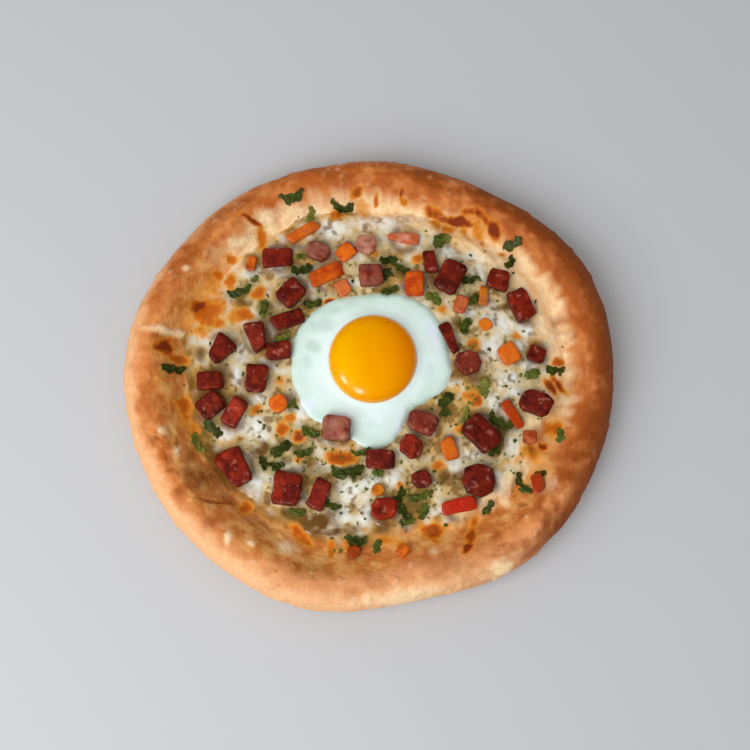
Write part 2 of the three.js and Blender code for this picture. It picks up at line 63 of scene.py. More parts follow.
def placeOf(column, row, height):
    # A ray from the eye through the pixel, cut at the height
    tilt = math.radians(picture["elevation"])
    across = (column - picture["width"] / 2) * picture["pixelSize"]
    up = (picture["width"] / 2 - row) * picture["pixelSize"]
    drop, ahead = picture["distance"] * math.sin(tilt), picture["distance"] * math.cos(tilt)
    aimX, aimY, aimZ = picture["aim"]
    share = (aimZ + drop - height) / (drop - up * math.cos(tilt))
    return aimX + share * across, aimY - ahead + share * (ahead + up * math.sin(tilt))


bread = {
    "meanRadius": 111.2,
    "outlineWaves": [(1, 0.8, 44), (2, 4.5, 4), (3, 0.7, 14), (4, 0.3, -42),
                     (5, 1.2, 29), (6, 0.5, 16), (8, 0.5, -10)],
    "crestHeight": 23.0,
    "crestWaves": [(2, 0.9, 200), (5, 0.8, 20), (9, 0.6, 11), (14, 0.5, 5)],
    "rimWidth": 29.5,
    "rimWaves": [(1, 4.4, 236), (3, 0.8, 60), (7, 0.9, 30)],
    "crestShare": 0.4,
    "floorHeight": 8.5,
    "widestHeight": 8.0,
    "undersideInset": 9.0,
    "shoulder": 2.05,
    "folds": [(75, 3, 1.6), (164, 3.2, 2), (216, 3, 1.8), (20, 3.5, 1.2)],  # bearing, width, depth
    "bumps": [  # column, row, radius, height
        (184, 282, 5, 0.9), (172, 316, 5, 0.8), (163, 436, 6, 1.1), (183, 452, 5, 0.9),
        (200, 484, 8, 1.7), (229, 537, 6, 0.9), (256, 543, 6, 0.9), (305, 572, 8, 0.9),
        (450, 562, 8, 0.8), (543, 520, 9, 1.1), (585, 450, 8, 0.9), (565, 290, 9, 0.9),
        (470, 195, 8, 0.8), (255, 210, 8, 0.8),
    ],
    "bumpLevel": 19,
    "swellHeight": 0.9,
    "reliefFade": 8,
    "sides": 96,  # of the solid's outline
    "around": 700,
    "rings": {"underside": 10, "edge": 14, "shoulder": 48, "slope": 62},
}

cheese = {
    "border": 0.8,  # share of the rim's width left bare
    "borderWaves": [(1, 1.5, 165), (3, 0.8, 165), (7, 0.9, 12), (11, 0.8, 3)],
    "depth": 3.6,
    "edge": 0.9,
    "blend": 2.5,
    "lump": 0.75,
    "gap": 0.3,
    "around": 560,
    "rings": 156,  # where it shows
    "eggShare": 0.28,  # share of its radius inside which the egg hides it
    "hiddenRings": 6,
}

egg = {
    "at": (371, 370),
    "radius": 37.2,
    "waves": [(1, 3.4, 105), (2, 1.5, 35), (3, 2.1, 29), (4, 1.1, 5), (5, 1.7, -10), (6, 0.8, -18)],
    "level": 14.3,
    "edgeDrop": 1.5,
    "flatMargin": (3, 10),
    "yolkAt": (372.7, 358.3),
    "yolkOutline": 2,  # height of its outline in the picture, over its foot
    "yolkRadius": 20.9,
    "yolkRise": 10.5,
    "yolkBulge": 0.92,
}


def wavesAt(waves, degrees):
    # Sum of cosines: amount times cos(count times (bearing less peak))
    return sum(amount * np.cos(np.radians(count * (degrees - peak))) for count, amount, peak in waves)


def outlineAt(degrees):
    # Radius of the bread: its mean and the waves
    return bread["meanRadius"] + wavesAt(bread["outlineWaves"], degrees)


def rimAt(degrees):
    # Width of the rim: its mean and the waves
    return bread["rimWidth"] + wavesAt(bread["rimWaves"], degrees)


def bearingOf(x, y):
    # Angle from the right, counterclockwise
    return np.degrees(np.arctan2(y, x))


def atBearing(radius, degrees):
    # Radius times the bearing's cosine and sine
    return radius * np.cos(np.radians(degrees)), radius * np.sin(np.radians(degrees))


def towards(bearing, degrees):
    # Cosine of the angle between: 1 on that side of the bread, -1 on the other
    return np.cos(np.radians(degrees - bearing))


def rise(start, end, value):
    # Smooth step from 0 at start to 1 at end: t squared times (3 less 2t)
    t = np.clip((value - start) / (end - start), 0, 1)
    return t * t * (3 - 2 * t)


def roundedMax(a, b, width):
    # The larger of two, with the corner filled by the square of what is left of the width
    blend = np.maximum(width - np.abs(a - b), 0) / width
    return np.maximum(a, b) + blend * blend * width / 4


def swell(x, y):
    # Three crossed sines and cosines, of about one either way
    return (0.5 * np.sin(x / 7.3 + 1.1) * np.cos(y / 8.1 - 0.4)
            + 0.35 * np.sin((x + y) / 5.2) + 0.3 * np.cos((x - 1.4 * y) / 6.1 + 0.8))


def blisters(x, y):
    # Low bell-shaped domes at the bumps
    total = 0
    for column, row, radius, height in bread["bumps"]:
        cx, cy = placeOf(column, row, bread["bumpLevel"])
        total = total + height * np.exp(-((x - cx) ** 2 + (y - cy) ** 2) / (radius / 1.5) ** 2)
    return total


def doughRelief(x, y, height):
    # Swell and domes together, fading out by a smooth step below the widest part
    fade = rise(bread["widestHeight"], bread["widestHeight"] + bread["reliefFade"], height)
    return fade * (bread["swellHeight"] * swell(x, y) + blisters(x, y))


def foldDepth(degrees):
    # Bell-shaped dips at the bearings where the rim was pinched
    total = 0
    for at, width, depth in bread["folds"]:
        away = (degrees - at + 540) % 360 - 180
        total = total + depth * np.exp(-(away / width) ** 2)
    return total


def breadTop(inset, degrees):
    # A rounded shoulder up to the crest, then a smooth step down to the floor
    width = rimAt(degrees)
    crestInset = bread["crestShare"] * width
    top = bread["crestHeight"] + wavesAt(bread["crestWaves"], degrees)
    share = np.clip(1 - inset / crestInset, 0, 1)
    power = bread["shoulder"]
    outer = bread["widestHeight"] + (top - bread["widestHeight"]) * (1 - share ** power) ** (1 / power)
    down = rise(crestInset, width, inset)
    inner = top - (top - bread["floorHeight"]) * down - foldDepth(degrees) * np.sin(math.pi * down)
    return np.where(inset <= crestInset, outer, inner)


eggMiddle = [float(v) for v in placeOf(*egg["at"], egg["level"])]


def whiteBorder(degrees):
    # Radius of the egg white about its own middle: its mean and the waves
    return egg["radius"] + wavesAt(egg["waves"], degrees)


def beyondWhite(x, y):
    # Distance outside the egg white's border, along the line from its middle
    awayX, awayY = x - eggMiddle[0], y - eggMiddle[1]
    return np.hypot(awayX, awayY) - whiteBorder(bearingOf(awayX, awayY))


def cheeseOuter(degrees):
    # Radius of the cheese: the bread's, less a share of the rim, and the waves
    return outlineAt(degrees) - cheese["border"] * rimAt(degrees) + wavesAt(cheese["borderWaves"], degrees)


def cheeseTop(x, y):
    # A lumpy pool, or a thin layer up the slope of the rim, whichever is higher
    degrees = bearingOf(x, y)
    inset = outlineAt(degrees) - np.hypot(x, y)
    lumps = cheese["lump"] * swell(1.7 * x, 1.7 * y)
    pool = bread["floorHeight"] + cheese["depth"] + lumps * rise(*egg["flatMargin"], beyondWhite(x, y))
    dough = breadTop(np.minimum(inset, rimAt(degrees)), degrees)
    slope = dough + doughRelief(x, y, dough) + cheese["edge"] + 0.3 * lumps + cheese["gap"]
    return roundedMax(pool, slope, cheese["blend"])


def whiteTop(x, y):
    # A flat layer whose edge drops with the fifth power of the way out
    awayX, awayY = x - eggMiddle[0], y - eggMiddle[1]
    share = np.hypot(awayX, awayY) / whiteBorder(bearingOf(awayX, awayY))
    ripple = 0.25 * swell(0.8 * x, 0.8 * y) * rise(0.6, 0.8, share)
    return egg["level"] - egg["edgeDrop"] * np.minimum(share, 1) ** 5 + ripple


def latticeValue(ix, iy, iz, seed):
    # A number from -1 to 1 for each lattice point, from its scrambled whole coordinates
    n = (ix * 374761393 + iy * 668265263 + iz * 1103515245 + seed * 97463477) & 0xffffffff
    n = ((n ^ (n >> 13)) * 1274126177) & 0xffffffff
    return ((n ^ (n >> 16)) & 0xffff) / 32767.5 - 1


def noise(x, y, z, size, seed=0, octaves=1):
    # Random numbers at lattice points, blended by smooth steps; each octave is half as large and as strong
    total, strength, weight = 0, 0, 1.0
    x, y, z = np.broadcast_arrays(x, y, z)
    for octave in range(octaves):
        px, py, pz = (v / size * 2 ** octave + 100 for v in (x, y, z))
        ix, iy, iz = (np.floor(v).astype(np.int64) for v in (px, py, pz))
        fx, fy, fz = (f * f * (3 - 2 * f) for f in (px - ix, py - iy, pz - iz))
        value = 0
        for corner in range(8):
            cx, cy, cz = corner & 1, corner >> 1 & 1, corner >> 2
            share = (fx if cx else 1 - fx) * (fy if cy else 1 - fy) * (fz if cz else 1 - fz)
            value = value + share * latticeValue(ix + cx, iy + cy, iz + cz, seed + octave * 17)
        total = total + weight * value
        strength += weight
        weight *= 0.5
    return total / strength


def boxOf(nodeName):
    # Low and high corner of a node's box, in millimetres about the bread's middle
    return (np.array(corner) * 1000 + [*breadMiddle, 0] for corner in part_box(nodeName))


def linear(colour):
    # Screen colour to light: the usual curve of power 2.4
    c = np.asarray(colour, float)
    return np.where(c <= 0.04045, c / 12.92, ((c + 0.055) / 1.055) ** 2.4)


def blendColour(base, other, share):
    # The way from one colour to the other, times a share kept from 0 to 1
    return base + (linear(other) - base) * np.clip(share, 0, 1)[..., None]


def allOver(colour, shape):
    # The colour at every point of a grid
    return np.broadcast_to(linear(colour), (*shape, 3))


def paintOver(tint, look, layers):
    # Blends one colour after the other into the tint: the name of each and its share
    for name, share in layers:
        tint = blendColour(tint, look[name], share)
    return tint


def spots(x, y, places, level, ragged=0.6, seed=0):
    # The strongest of several soft ellipses, whose borders are shifted by noise
    wander = ragged * noise(x, y, 0, 3.4, seed, 3)
    best = np.zeros_like(x)
    for column, row, long, wide, turn, strength in places:
        cx, cy = placeOf(column, row, level)
        a = math.radians(turn)
        along = ((x - cx) * math.cos(a) + (y - cy) * math.sin(a)) / (long * picture["pixelSize"] / 2)
        across = ((y - cy) * math.cos(a) - (x - cx) * math.sin(a)) / (wide * picture["pixelSize"] / 2)
        distance = np.sqrt(along ** 2 + across ** 2) + wander
        best = np.maximum(best, strength * (1 - rise(0.25, 1.45, distance)))
    return best


outlineDegrees = np.arange(bread["sides"]) * 360 / bread["sides"]
outlineX, outlineY = atBearing(outlineAt(outlineDegrees), outlineDegrees)
breadMiddle = ((outlineX.min() + outlineX.max()) / 2, (outlineY.min() + outlineY.max()) / 2)


def toFrame(points):
    # Less the bread's middle, then to metres
    return (points - np.array([*breadMiddle, 0])) * 0.001


def stackFaces(levels, around):
    # Quads between rings and a fan to a pole at both ends; the poles are the first and the last point
    i = np.arange(around)
    after = (i + 1) % around
    low = 1 + np.arange(levels - 1)[:, None] * around
    quads = np.stack([low + i, low + after, low + around + after, low + around + i], axis=-1).reshape(-1, 4)
    last = 1 + (levels - 1) * around
    bottom = np.stack([np.zeros_like(i), 1 + after, 1 + i], axis=-1)
    top = np.stack([last + i, last + after, np.full_like(i, levels * around + 1)], axis=-1)
    return quads, np.concatenate([bottom, top])


def newPiece(name, points, quads, triangles, material, nodes, tint, wet=None):
    # Closed mesh in the frame's metres; its tint's fourth channel says how wet the skin is
    mesh = bpy.data.meshes.new(name)
    mesh.vertices.add(len(points))
    mesh.vertices.foreach_set("co", toFrame(points).astype(np.float32).ravel())
    corners = np.concatenate([quads.ravel(), triangles.ravel()]).astype(np.int32)
    sizes = np.concatenate([np.full(len(quads), 4), np.full(len(triangles), 3)])
    starts = np.concatenate([[0], np.cumsum(sizes)[:-1]]).astype(np.int32)
    mesh.loops.add(len(corners))
    mesh.loops.foreach_set("vertex_index", corners)
    mesh.polygons.add(len(sizes))
    mesh.polygons.foreach_set("loop_start", starts)
    mesh.update(calc_edges=True)
    mesh.validate()
    layer = mesh.attributes.new("tint", "FLOAT_COLOR", "POINT")
    rgba = np.column_stack([np.clip(tint, 0, 1), np.ones(len(points)) if wet is None else wet])
    layer.data.foreach_set("color", rgba.astype(np.float32).ravel())
    mesh.polygons.foreach_set("use_smooth", np.ones(len(sizes), bool))
    mesh.materials.append(material)
    piece = bpy.data.objects.new(name, mesh)
    bpy.context.scene.collection.objects.link(piece)
    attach(piece, "root")
    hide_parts(*nodes)


def closedPiece(name, rings, poles, tint, material, nodes, wet=None):
    # Rings joined by quads, and fans to the two poles, which take the tint of the ring beside them
    points = np.concatenate([[poles[0]], rings.reshape(-1, 3), [poles[1]]])
    tints = np.concatenate([tint[0, :1], tint.reshape(-1, 3), tint[-1, :1]])
    if wet is not None:
        wet = np.concatenate([wet[0, :1], wet.ravel(), wet[-1, :1]])
    quads, fans = stackFaces(*rings.shape[:2])
    newPiece(name, points, quads, fans, material, nodes, tints, wet)


def ringNormals(rings):
    # Cross product of the steps along and around a stack of rings, scaled to length one
    along = np.gradient(rings, axis=0)
    around = np.roll(rings, -1, axis=1) - np.roll(rings, 1, axis=1)
    normal = np.cross(around, along)
    return normal / np.maximum(np.linalg.norm(normal, axis=-1, keepdims=True), 1e-9)


def setInputs(node, values):
    # Values put on a node's own inputs by name
    for name, value in values.items():
        node.inputs[name].default_value = value
    return node


def makeMaterial(name, look):
    # The piece's own tint, made lighter and darker by fine noise on Object coordinates, over a noisy bump
    material = bpy.data.materials.new(name)
    material.use_nodes = True
    nodes, join = material.node_tree.nodes, material.node_tree.links.new
    coordinates = nodes.new("ShaderNodeTexCoord").outputs["Object"]
    tint = nodes.new("ShaderNodeAttribute")
    tint.attribute_name = "tint"
    grain = setInputs(nodes.new("ShaderNodeTexNoise"), {
        "Scale": 1000 / look["grainSize"], "Detail": 3, "Roughness": 0.6})
    shade = setInputs(nodes.new("ShaderNodeMapRange"), {
        "From Min": 0.3, "From Max": 0.7, "To Min": 1 - look["grain"], "To Max": 1 + look["grain"]})
    darken = nodes.new("ShaderNodeVectorMath")
    darken.operation = "SCALE"
    relief = setInputs(nodes.new("ShaderNodeTexNoise"), {"Scale": 1000 / look["bumpSize"], "Detail": 4})
    bump = setInputs(nodes.new("ShaderNodeBump"), {"Distance": look["bump"] * 0.001, "Strength": 1.0})
    shader = setInputs(nodes["Principled BSDF"], {
        "Roughness": look["roughness"],
        "Specular IOR Level": look["specular"],
        "Coat Roughness": look.get("coatRoughness", 0.1),
    })
    join(coordinates, grain.inputs["Vector"])
    join(grain.outputs["Fac"], shade.inputs["Value"])
    join(tint.outputs["Color"], darken.inputs[0])
    join(shade.outputs["Result"], darken.inputs["Scale"])
    join(darken.outputs["Vector"], shader.inputs["Base Color"])
    join(coordinates, relief.inputs["Vector"])
    join(relief.outputs["Fac"], bump.inputs["Height"])
    join(bump.outputs["Normal"], shader.inputs["Normal"])
    if look.get("wetInPlaces"):
        wetness = nodes.new("ShaderNodeMath")
        wetness.operation = "MULTIPLY"
        wetness.inputs[1].default_value = look["coat"]
        join(tint.outputs["Alpha"], wetness.inputs[0])
        join(wetness.outputs["Value"], shader.inputs["Coat Weight"])
    else:
        setInputs(shader, {"Coat Weight": look.get("coat", 0)})
    if "softness" in look:  # light let through, in millimetres
        setInputs(shader, {
            "Subsurface Weight": 1.0,
            "Subsurface Scale": look["softness"] * 0.001,
            "Subsurface Radius": look["softColour"],
        })
    return material


# Bread; the colours in every dictionary are screen colours
crustLook = {
    "pale": (0.95, 0.75, 0.56),
    "golden": (0.87, 0.56, 0.31),
    "brown": (0.73, 0.38, 0.15),
    "dark": (0.54, 0.26, 0.08),
    "cream": (1.0, 0.89, 0.71),
    "tan": (0.85, 0.55, 0.27),
    "straw": (0.96, 0.76, 0.48),
    "cloudSize": 14.0,
    "mottleSize": 4.5,
    "grainSize": 1.6,
    "grain": 0.09,
    "bumpSize": 1.5,
    "bump": 0.45,
    "roughness": 0.6,
    "specular": 0.1,
}
crustRelief = {  # heights and sizes in millimetres
    "lump": 0.5,
    "lumpSize": 9.0,
    "wrinkle": 0.22,
    "wrinkleSize": 2.6,
    "blister": 0.6,
    "blisterSize": 4.2,
    "mark": 0.7,
    "sunk": 0.5,
}
crustSides = {  # bearings of the sides coloured in their own way: by the oven, and the two away from the light also by painted shade
    "darkBakeAndShade": 15,
    "far": 24,
    "lowSlope": 30,
    "cream": 62,
    "brownEdge": 110,
    "toasted": 211,
    "paleEdge": 266,
}
markLevel = 18  # height at which the marks of the crust were placed
bakedLevels = {"crust": 17, "cheese": 14}  # and the browned cheese
paleMarksAndHighlights = [  # on the crust, pale marks and painted highlights on lit knobs: column, row, length, width, turn, strength
    (175, 332, 46, 8, -5, 0.9), (240, 241, 26, 8, 10, 0.8), (187, 270, 9, 6, 0, 0.6),
    (163, 431, 11, 10, 0, 0.8), (178, 451, 10, 10, 0, 0.8), (230, 538, 8, 14, 0, 0.8),
    (253, 543, 9, 8, 0, 0.8), (287, 547, 17, 15, 0, 0.9), (500, 570, 28, 18, 20, 0.8),
    (435, 550, 12, 7, 0, 0.6), (400, 598, 90, 16, 6, 0.6), (537, 297, 18, 26, 20, 0.9),
    (560, 333, 24, 9, 0, 0.8), (556, 350, 22, 9, 0, 0.6), (546, 400, 12, 26, 0, 0.6),
    (527, 262, 20, 10, -40, 0.7), (505, 500, 14, 12, 0, 0.7), (422, 213, 9, 18, 0, 0.6),
    (297, 212, 28, 16, 20, 0.6), (268, 218, 20, 12, 30, 0.5), (243, 262, 26, 30, 30, 0.85),
    (236, 288, 18, 24, 60, 0.5), (250, 245, 26, 16, 30, 0.7), (548, 315, 14, 50, 10, 0.7),
    (547, 484, 18, 18, 0, 0.35),
]
darkMarksAndShade = [  # darker and a little sunk, given in the same way: dark marks, and painted shade in creases, beside knobs and beside the diced pieces
    (215, 222, 90, 18, 34, 0.6), (188, 262, 60, 24, 55, 0.55), (160, 300, 40, 16, 65, 0.35),
    (161, 337, 16, 7, 0, 0.5), (153, 441, 7, 14, 30, 0.8), (170, 461, 10, 14, 0, 0.8),
    (197, 479, 30, 22, -50, 1.0), (183, 491, 18, 14, 0, 0.7), (214, 521, 26, 15, 25, 0.6),
    (306, 570, 56, 18, 0, 0.4), (181, 276, 20, 15, 0, 0.6), (203, 238, 20, 13, 30, 0.5),
    (476, 200, 50, 14, -20, 0.5), (500, 210, 16, 20, 0, 0.5), (562, 276, 26, 24, 0, 0.5),
    (560, 318, 30, 12, 0, 0.6), (550, 540, 22, 24, 45, 0.5), (440, 565, 60, 22, 8, 0.5),
    (523, 503, 8, 5, 0, 0.8), (580, 478, 26, 60, 20, 0.4), (277, 571, 4, 4, 0, 1.0),
    (345, 180, 60, 14, 0, 0.4), (255, 520, 40, 12, -35, 0.5), (375, 575, 40, 16, 0, 0.2),
    (150, 400, 16, 50, 0, 0.3), (212, 500, 34, 4, -8, 1.0), (565, 365, 24, 12, 0, 0.4),
    (214, 468, 46, 13, -62, 1.0), (228, 498, 28, 10, -40, 0.6), (200, 470, 16, 40, 10, 0.4),
    (157, 439, 14, 5, -20, 1.0), (168, 458, 5, 14, 10, 1.0), (173, 470, 12, 5, 20, 0.8),
    (178, 441, 4, 9, 0, 0.7), (190, 456, 10, 15, 0, 0.6), (184, 470, 18, 8, 30, 0.5),
    (565, 333, 22, 12, 0, 0.5), (573, 385, 14, 30, 0, 0.3),
]


def breadRings():
    # The CAD's section carried round the outline: a quarter arc under, the shoulder, the slope, the floor
    degrees = np.arange(bread["around"]) * 360 / bread["around"]
    width = rimAt(degrees)
    levels = []
    count = bread["rings"]
    for radiusShare in np.linspace(0.1, 0.97, count["underside"]):
        inset = outlineAt(degrees) - (outlineAt(degrees) - bread["undersideInset"]) * radiusShare
        levels.append((inset, np.zeros_like(degrees)))
    for bend in np.linspace(0, math.pi / 2, count["edge"]):
        inset = bread["undersideInset"] * (1 - math.sin(bend)) + 0 * degrees
        levels.append((inset, bread["widestHeight"] * (1 - math.cos(bend)) + 0 * degrees))
    shoulder = bread["crestShare"] * (1 - np.cos(np.linspace(0, math.pi / 2, count["shoulder"])[1:]))
    slope = np.linspace(bread["crestShare"], 1, count["slope"])[1:]
    floor = np.array([1.1, 1.4])
    for share in np.concatenate([shoulder, slope, floor]):
        levels.append((share * width, breadTop(share * width, degrees)))
    inset = np.array([level[0] for level in levels])
    height = np.array([level[1] for level in levels])
    radius = outlineAt(degrees) - inset
    x, y = atBearing(radius, degrees)
    rings = np.stack([x, y, height + doughRelief(x, y, height)], axis=-1)
    return rings, inset / width, np.broadcast_to(degrees, inset.shape)


def crustDetail(x, y, z):
    # How far to push the skin out: noise of two sizes, blisters where a third is high, and the marks;
    # and where the blisters are
    relief = crustRelief
    upper = rise(2, 9, z)
    lumps = relief["lump"] * noise(x, y, z, relief["lumpSize"], 3, 2)
    wrinkles = relief["wrinkle"] * noise(x, y, z, relief["wrinkleSize"], 5, 3)
    bubbles = noise(x, y, z, relief["blisterSize"], 9, 2)
    blister = relief["blister"] * rise(0.28, 0.7, bubbles)
    marks = (relief["mark"] * spots(x, y, paleMarksAndHighlights, markLevel, seed=14)
             - relief["mark"] * spots(x, y, darkMarksAndShade, markLevel, seed=12))
    return upper * (lumps + wrinkles + blister + marks - relief["sunk"]), upper * rise(0.3, 0.65, bubbles)


browned = [  # browned cheese: column, row, length, width, turn, strength
    (340, 457, 32, 18, 0, 0.7), (283, 429, 16, 16, 0, 0.65), (289, 418, 11, 11, 0, 0.5),
    (298, 437, 16, 12, 20, 0.8), (300, 456, 10, 14, 0, 0.55), (434, 531, 24, 17, 0, 0.72),
    (243, 314, 20, 18, 0, 0.6), (258, 292, 18, 16, 0, 0.6), (206, 310, 44, 36, -10, 0.62),
    (198, 305, 20, 16, 20, 0.9), (217, 322, 18, 14, 0, 0.55), (165, 347, 17, 17, 30, 0.95),
    (218, 272, 12, 10, 0, 0.6), (231, 257, 14, 12, 0, 0.5), (230, 281, 14, 20, 0, 0.55),
    (250, 220, 20, 6, -25, 0.95), (261, 238, 12, 24, 10, 0.55), (336, 212, 15, 14, 0, 0.55),
    (363, 207, 13, 26, 20, 0.3), (357, 192, 18, 10, 25, 0.75), (376, 197, 6, 14, 0, 0.75),
    (402, 193, 5, 14, -15, 0.95), (432, 210, 17, 11, -10, 0.8), (459, 219, 30, 10, -8, 1.0),
    (462, 234, 44, 26, 0, 0.2), (478, 215, 16, 8, -35, 0.9), (494, 230, 22, 11, -50, 1.0),
    (445, 228, 8, 20, 0, 0.4), (483, 240, 8, 22, 0, 0.35), (470, 395, 22, 15, 0, 0.45),
    (478, 401, 14, 14, 0, 0.7), (438, 465, 15, 13, 0, 0.5), (530, 453, 26, 18, 20, 0.45),
    (560, 383, 24, 7, -48, 0.9), (558, 361, 15, 9, 0, 0.6), (553, 426, 14, 18, 0, 0.55),
    (545, 445, 12, 9, -10, 0.85), (467, 548, 16, 10, 45, 1.0), (300, 534, 30, 11, -50, 0.65),
    (331, 547, 8, 20, 0, 0.5), (183, 408, 16, 26, 0, 0.6), (193, 430, 11, 20, 0, 0.45),
    (180, 358, 22, 10, -15, 0.65), (245, 507, 13, 11, 0, 0.65), (385, 540, 22, 9, 0, 0.45),
    (255, 410, 12, 11, 0, 0.55), (280, 380, 11, 12, 0, 0.4), (330, 301, 12, 8, 0, 0.9),
    (503, 252, 10, 8, 0, 0.55), (418, 257, 12, 12, 0, 0.6), (475, 344, 14, 13, 0, 0.5),
    (401, 485, 10, 10, 0, 0.6), (442, 308, 12, 14, 0, 0.42), (470, 213, 18, 8, -12, 0.8),
    (485, 221, 18, 8, -50, 0.8), (446, 217, 18, 8, -15, 0.75), (436, 222, 14, 18, 0, 0.38),
    (452, 227, 16, 18, 0, 0.38), (482, 231, 12, 22, -20, 0.42), (478, 226, 10, 22, -10, 0.4),
    (464, 228, 12, 18, 0, 0.36), (440, 213, 14, 8, -30, 0.6), (235, 315, 24, 26, 0, 0.4),
    (213, 290, 20, 30, 30, 0.35), (472, 534, 10, 38, -15, 0.75), (556, 426, 14, 14, 0, 0.6),
    (552, 387, 22, 8, -45, 0.8), (404, 200, 10, 8, 0, 0.5), (516, 335, 12, 8, 0, 0.4),
    (460, 430, 12, 10, 0, 0.5), (350, 545, 12, 14, 0, 0.55), (403, 548, 12, 14, 0, 0.6),
    (375, 253, 10, 8, 0, 0.4), (310, 262, 8, 8, 0, 0.4), (160, 380, 12, 20, 0, 0.35),
    (202, 330, 26, 14, 0, 0.4),
]
brownedColours = {
    "amber": (0.88, 0.60, 0.20),
    "orange": (0.79, 0.41, 0.08),
    "red": (0.52, 0.19, 0.04),
}


def brownColour(tint, strength, rim=1.0):
    # Amber from the first third, then orange, and red-brown where it is strongest
    return paintOver(tint, brownedColours, [
        ("amber", strength * 2.6 * rim),
        ("orange", rise(0.2, 0.58, strength)),
        ("red", rise(0.48, 0.9, strength)),
    ])


def rimTint(tint, z, share, degrees, cloud, mottle, blister):
    # Golden from the foot up, then brown by smooth steps of the way in; the side away from the light darker,
    # partly browning and partly painted shade; the near edge paler, and the underside golden with brown
    # clouds
    sides = crustSides
    upper = rise(1, 6, z)
    early = 0.14 * rise(0.4, 1.0, towards(sides["brownEdge"], degrees))
    band = rise(0.1, 0.34, share + early + 0.12 * cloud + 0.05 * mottle)
    crest = 1 - rise(0.6, 0.85, share + 0.1 * cloud + 0.05 * mottle)
    under = rise(0.25, 0.45, share) * (1 - rise(0.5, 3, z))
    # the side away from the light is browner: partly browning, partly painted shade
    far = 0.5 + 0.5 * towards(sides["far"], degrees)
    paler = rise(0.35, 0.95, towards(sides["paleEdge"], degrees)) * (1 - rise(0.4, 0.65, share))
    toasted = rise(0.75, 1.0, towards(sides["toasted"], degrees))
    toasted = toasted * rise(0.25, 0.4, share) * (1 - rise(0.5, 0.75, share)) * upper
    # painted shade with browning, darkest on the outer side away from the light
    darkBakeAndShade = rise(0.25, 1.05, towards(sides["darkBakeAndShade"], degrees) + 0.5 * mottle + 0.4 * cloud) * upper
    return paintOver(tint, crustLook, [
        ("golden", rise(2, 10, z) * (0.25 + 0.75 * band)),
        ("golden", under * (0.6 + 0.6 * cloud)),
        ("brown", under * rise(0.0, 0.6, cloud) * 0.6),
        ("brown", crest * band * (0.28 + 0.6 * far + 0.9 * cloud + 0.8 * mottle)),
        ("brown", (1 - band) * rise(0.35, 0.8, far) * upper),
        ("pale", 0.34 * paler * upper),
        ("brown", toasted * (0.6 + 0.7 * mottle)),
        ("dark", darkBakeAndShade * (0.92 - 0.8 * rise(0.36, 0.68, share))),
        ("pale", 0.5 * blister * band * (1 - darkBakeAndShade)),
    ])


def slopeTint(tint, z, share, degrees, cloud, mottle):
    # Past a smooth step of the way in, broken by rays down the slope: cream on one side, tan on the other
    rays = noise(degrees * 0.55, share * 1.6, 0, 1.0, 27, 2)
    start = 0.5 + 0.16 * towards(crustSides["lowSlope"], degrees)
    inner = rise(start, start + 0.28, share + 0.1 * cloud + 0.12 * rays) * rise(1, 6, z)
    creamSide = rise(0.1, 0.5, towards(crustSides["cream"], degrees) + 0.25 * cloud)
    return paintOver(tint, crustLook, [
        ("tan", inner * 0.8),
        ("brown", inner * (1 - creamSide) * (0.1 + 0.9 * mottle)),
        ("cream", inner * creamSide * (0.8 + 0.6 * mottle)),
        ("straw", inner * (1 - creamSide) * (0.15 - 0.9 * mottle)),
    ])


def crustTint(x, y, z, share, degrees, blister):
    # The rim's and the slope's colours over a pale foot, then the marks, partly painted highlight and
    # painted shade, and the browned cheese on them
    cloud = noise(x, y, z, crustLook["cloudSize"], 21, 3)
    mottle = noise(x, y, z, crustLook["mottleSize"], 33, 3)
    tint = rimTint(allOver(crustLook["pale"], x.shape), z, share, degrees, cloud, mottle, blister)
    tint = slopeTint(tint, z, share, degrees, cloud, mottle)
    upper = rise(3, 8, z)
    # dark marks with painted shade, then pale marks with painted highlights
    tint = paintOver(tint, crustLook, [
        ("dark", 0.75 * spots(x, y, darkMarksAndShade, markLevel, seed=12) * upper),
        ("cream", spots(x, y, paleMarksAndHighlights, markLevel, seed=14) * upper),
    ])
    baked = spots(x, y, browned, bakedLevels["crust"], seed=4) * rise(5, 8, z)
    return brownColour(tint, baked, 0.35 + 0.65 * rise(0.5, 0.8, share))


def makeCrust():
    # The section's rings, pushed out along their normals and kept inside the node's box
    rings, share, degrees = breadRings()
    x, y, z = np.moveaxis(rings, -1, 0)
    push, blister = crustDetail(x, y, z)
    tint = crustTint(x, y, z, share, degrees, blister)
    rings = rings + ringNormals(rings) * push[..., None]
    rings = np.clip(rings, *boxOf("crust"))
    poles = [[0, 0, 0], [0, 0, bread["floorHeight"]]]
    closedPiece("breadCrust", rings, poles, tint, makeMaterial("bakedCrust", crustLook), ["crust"])


makeCrust()
print("bread made")

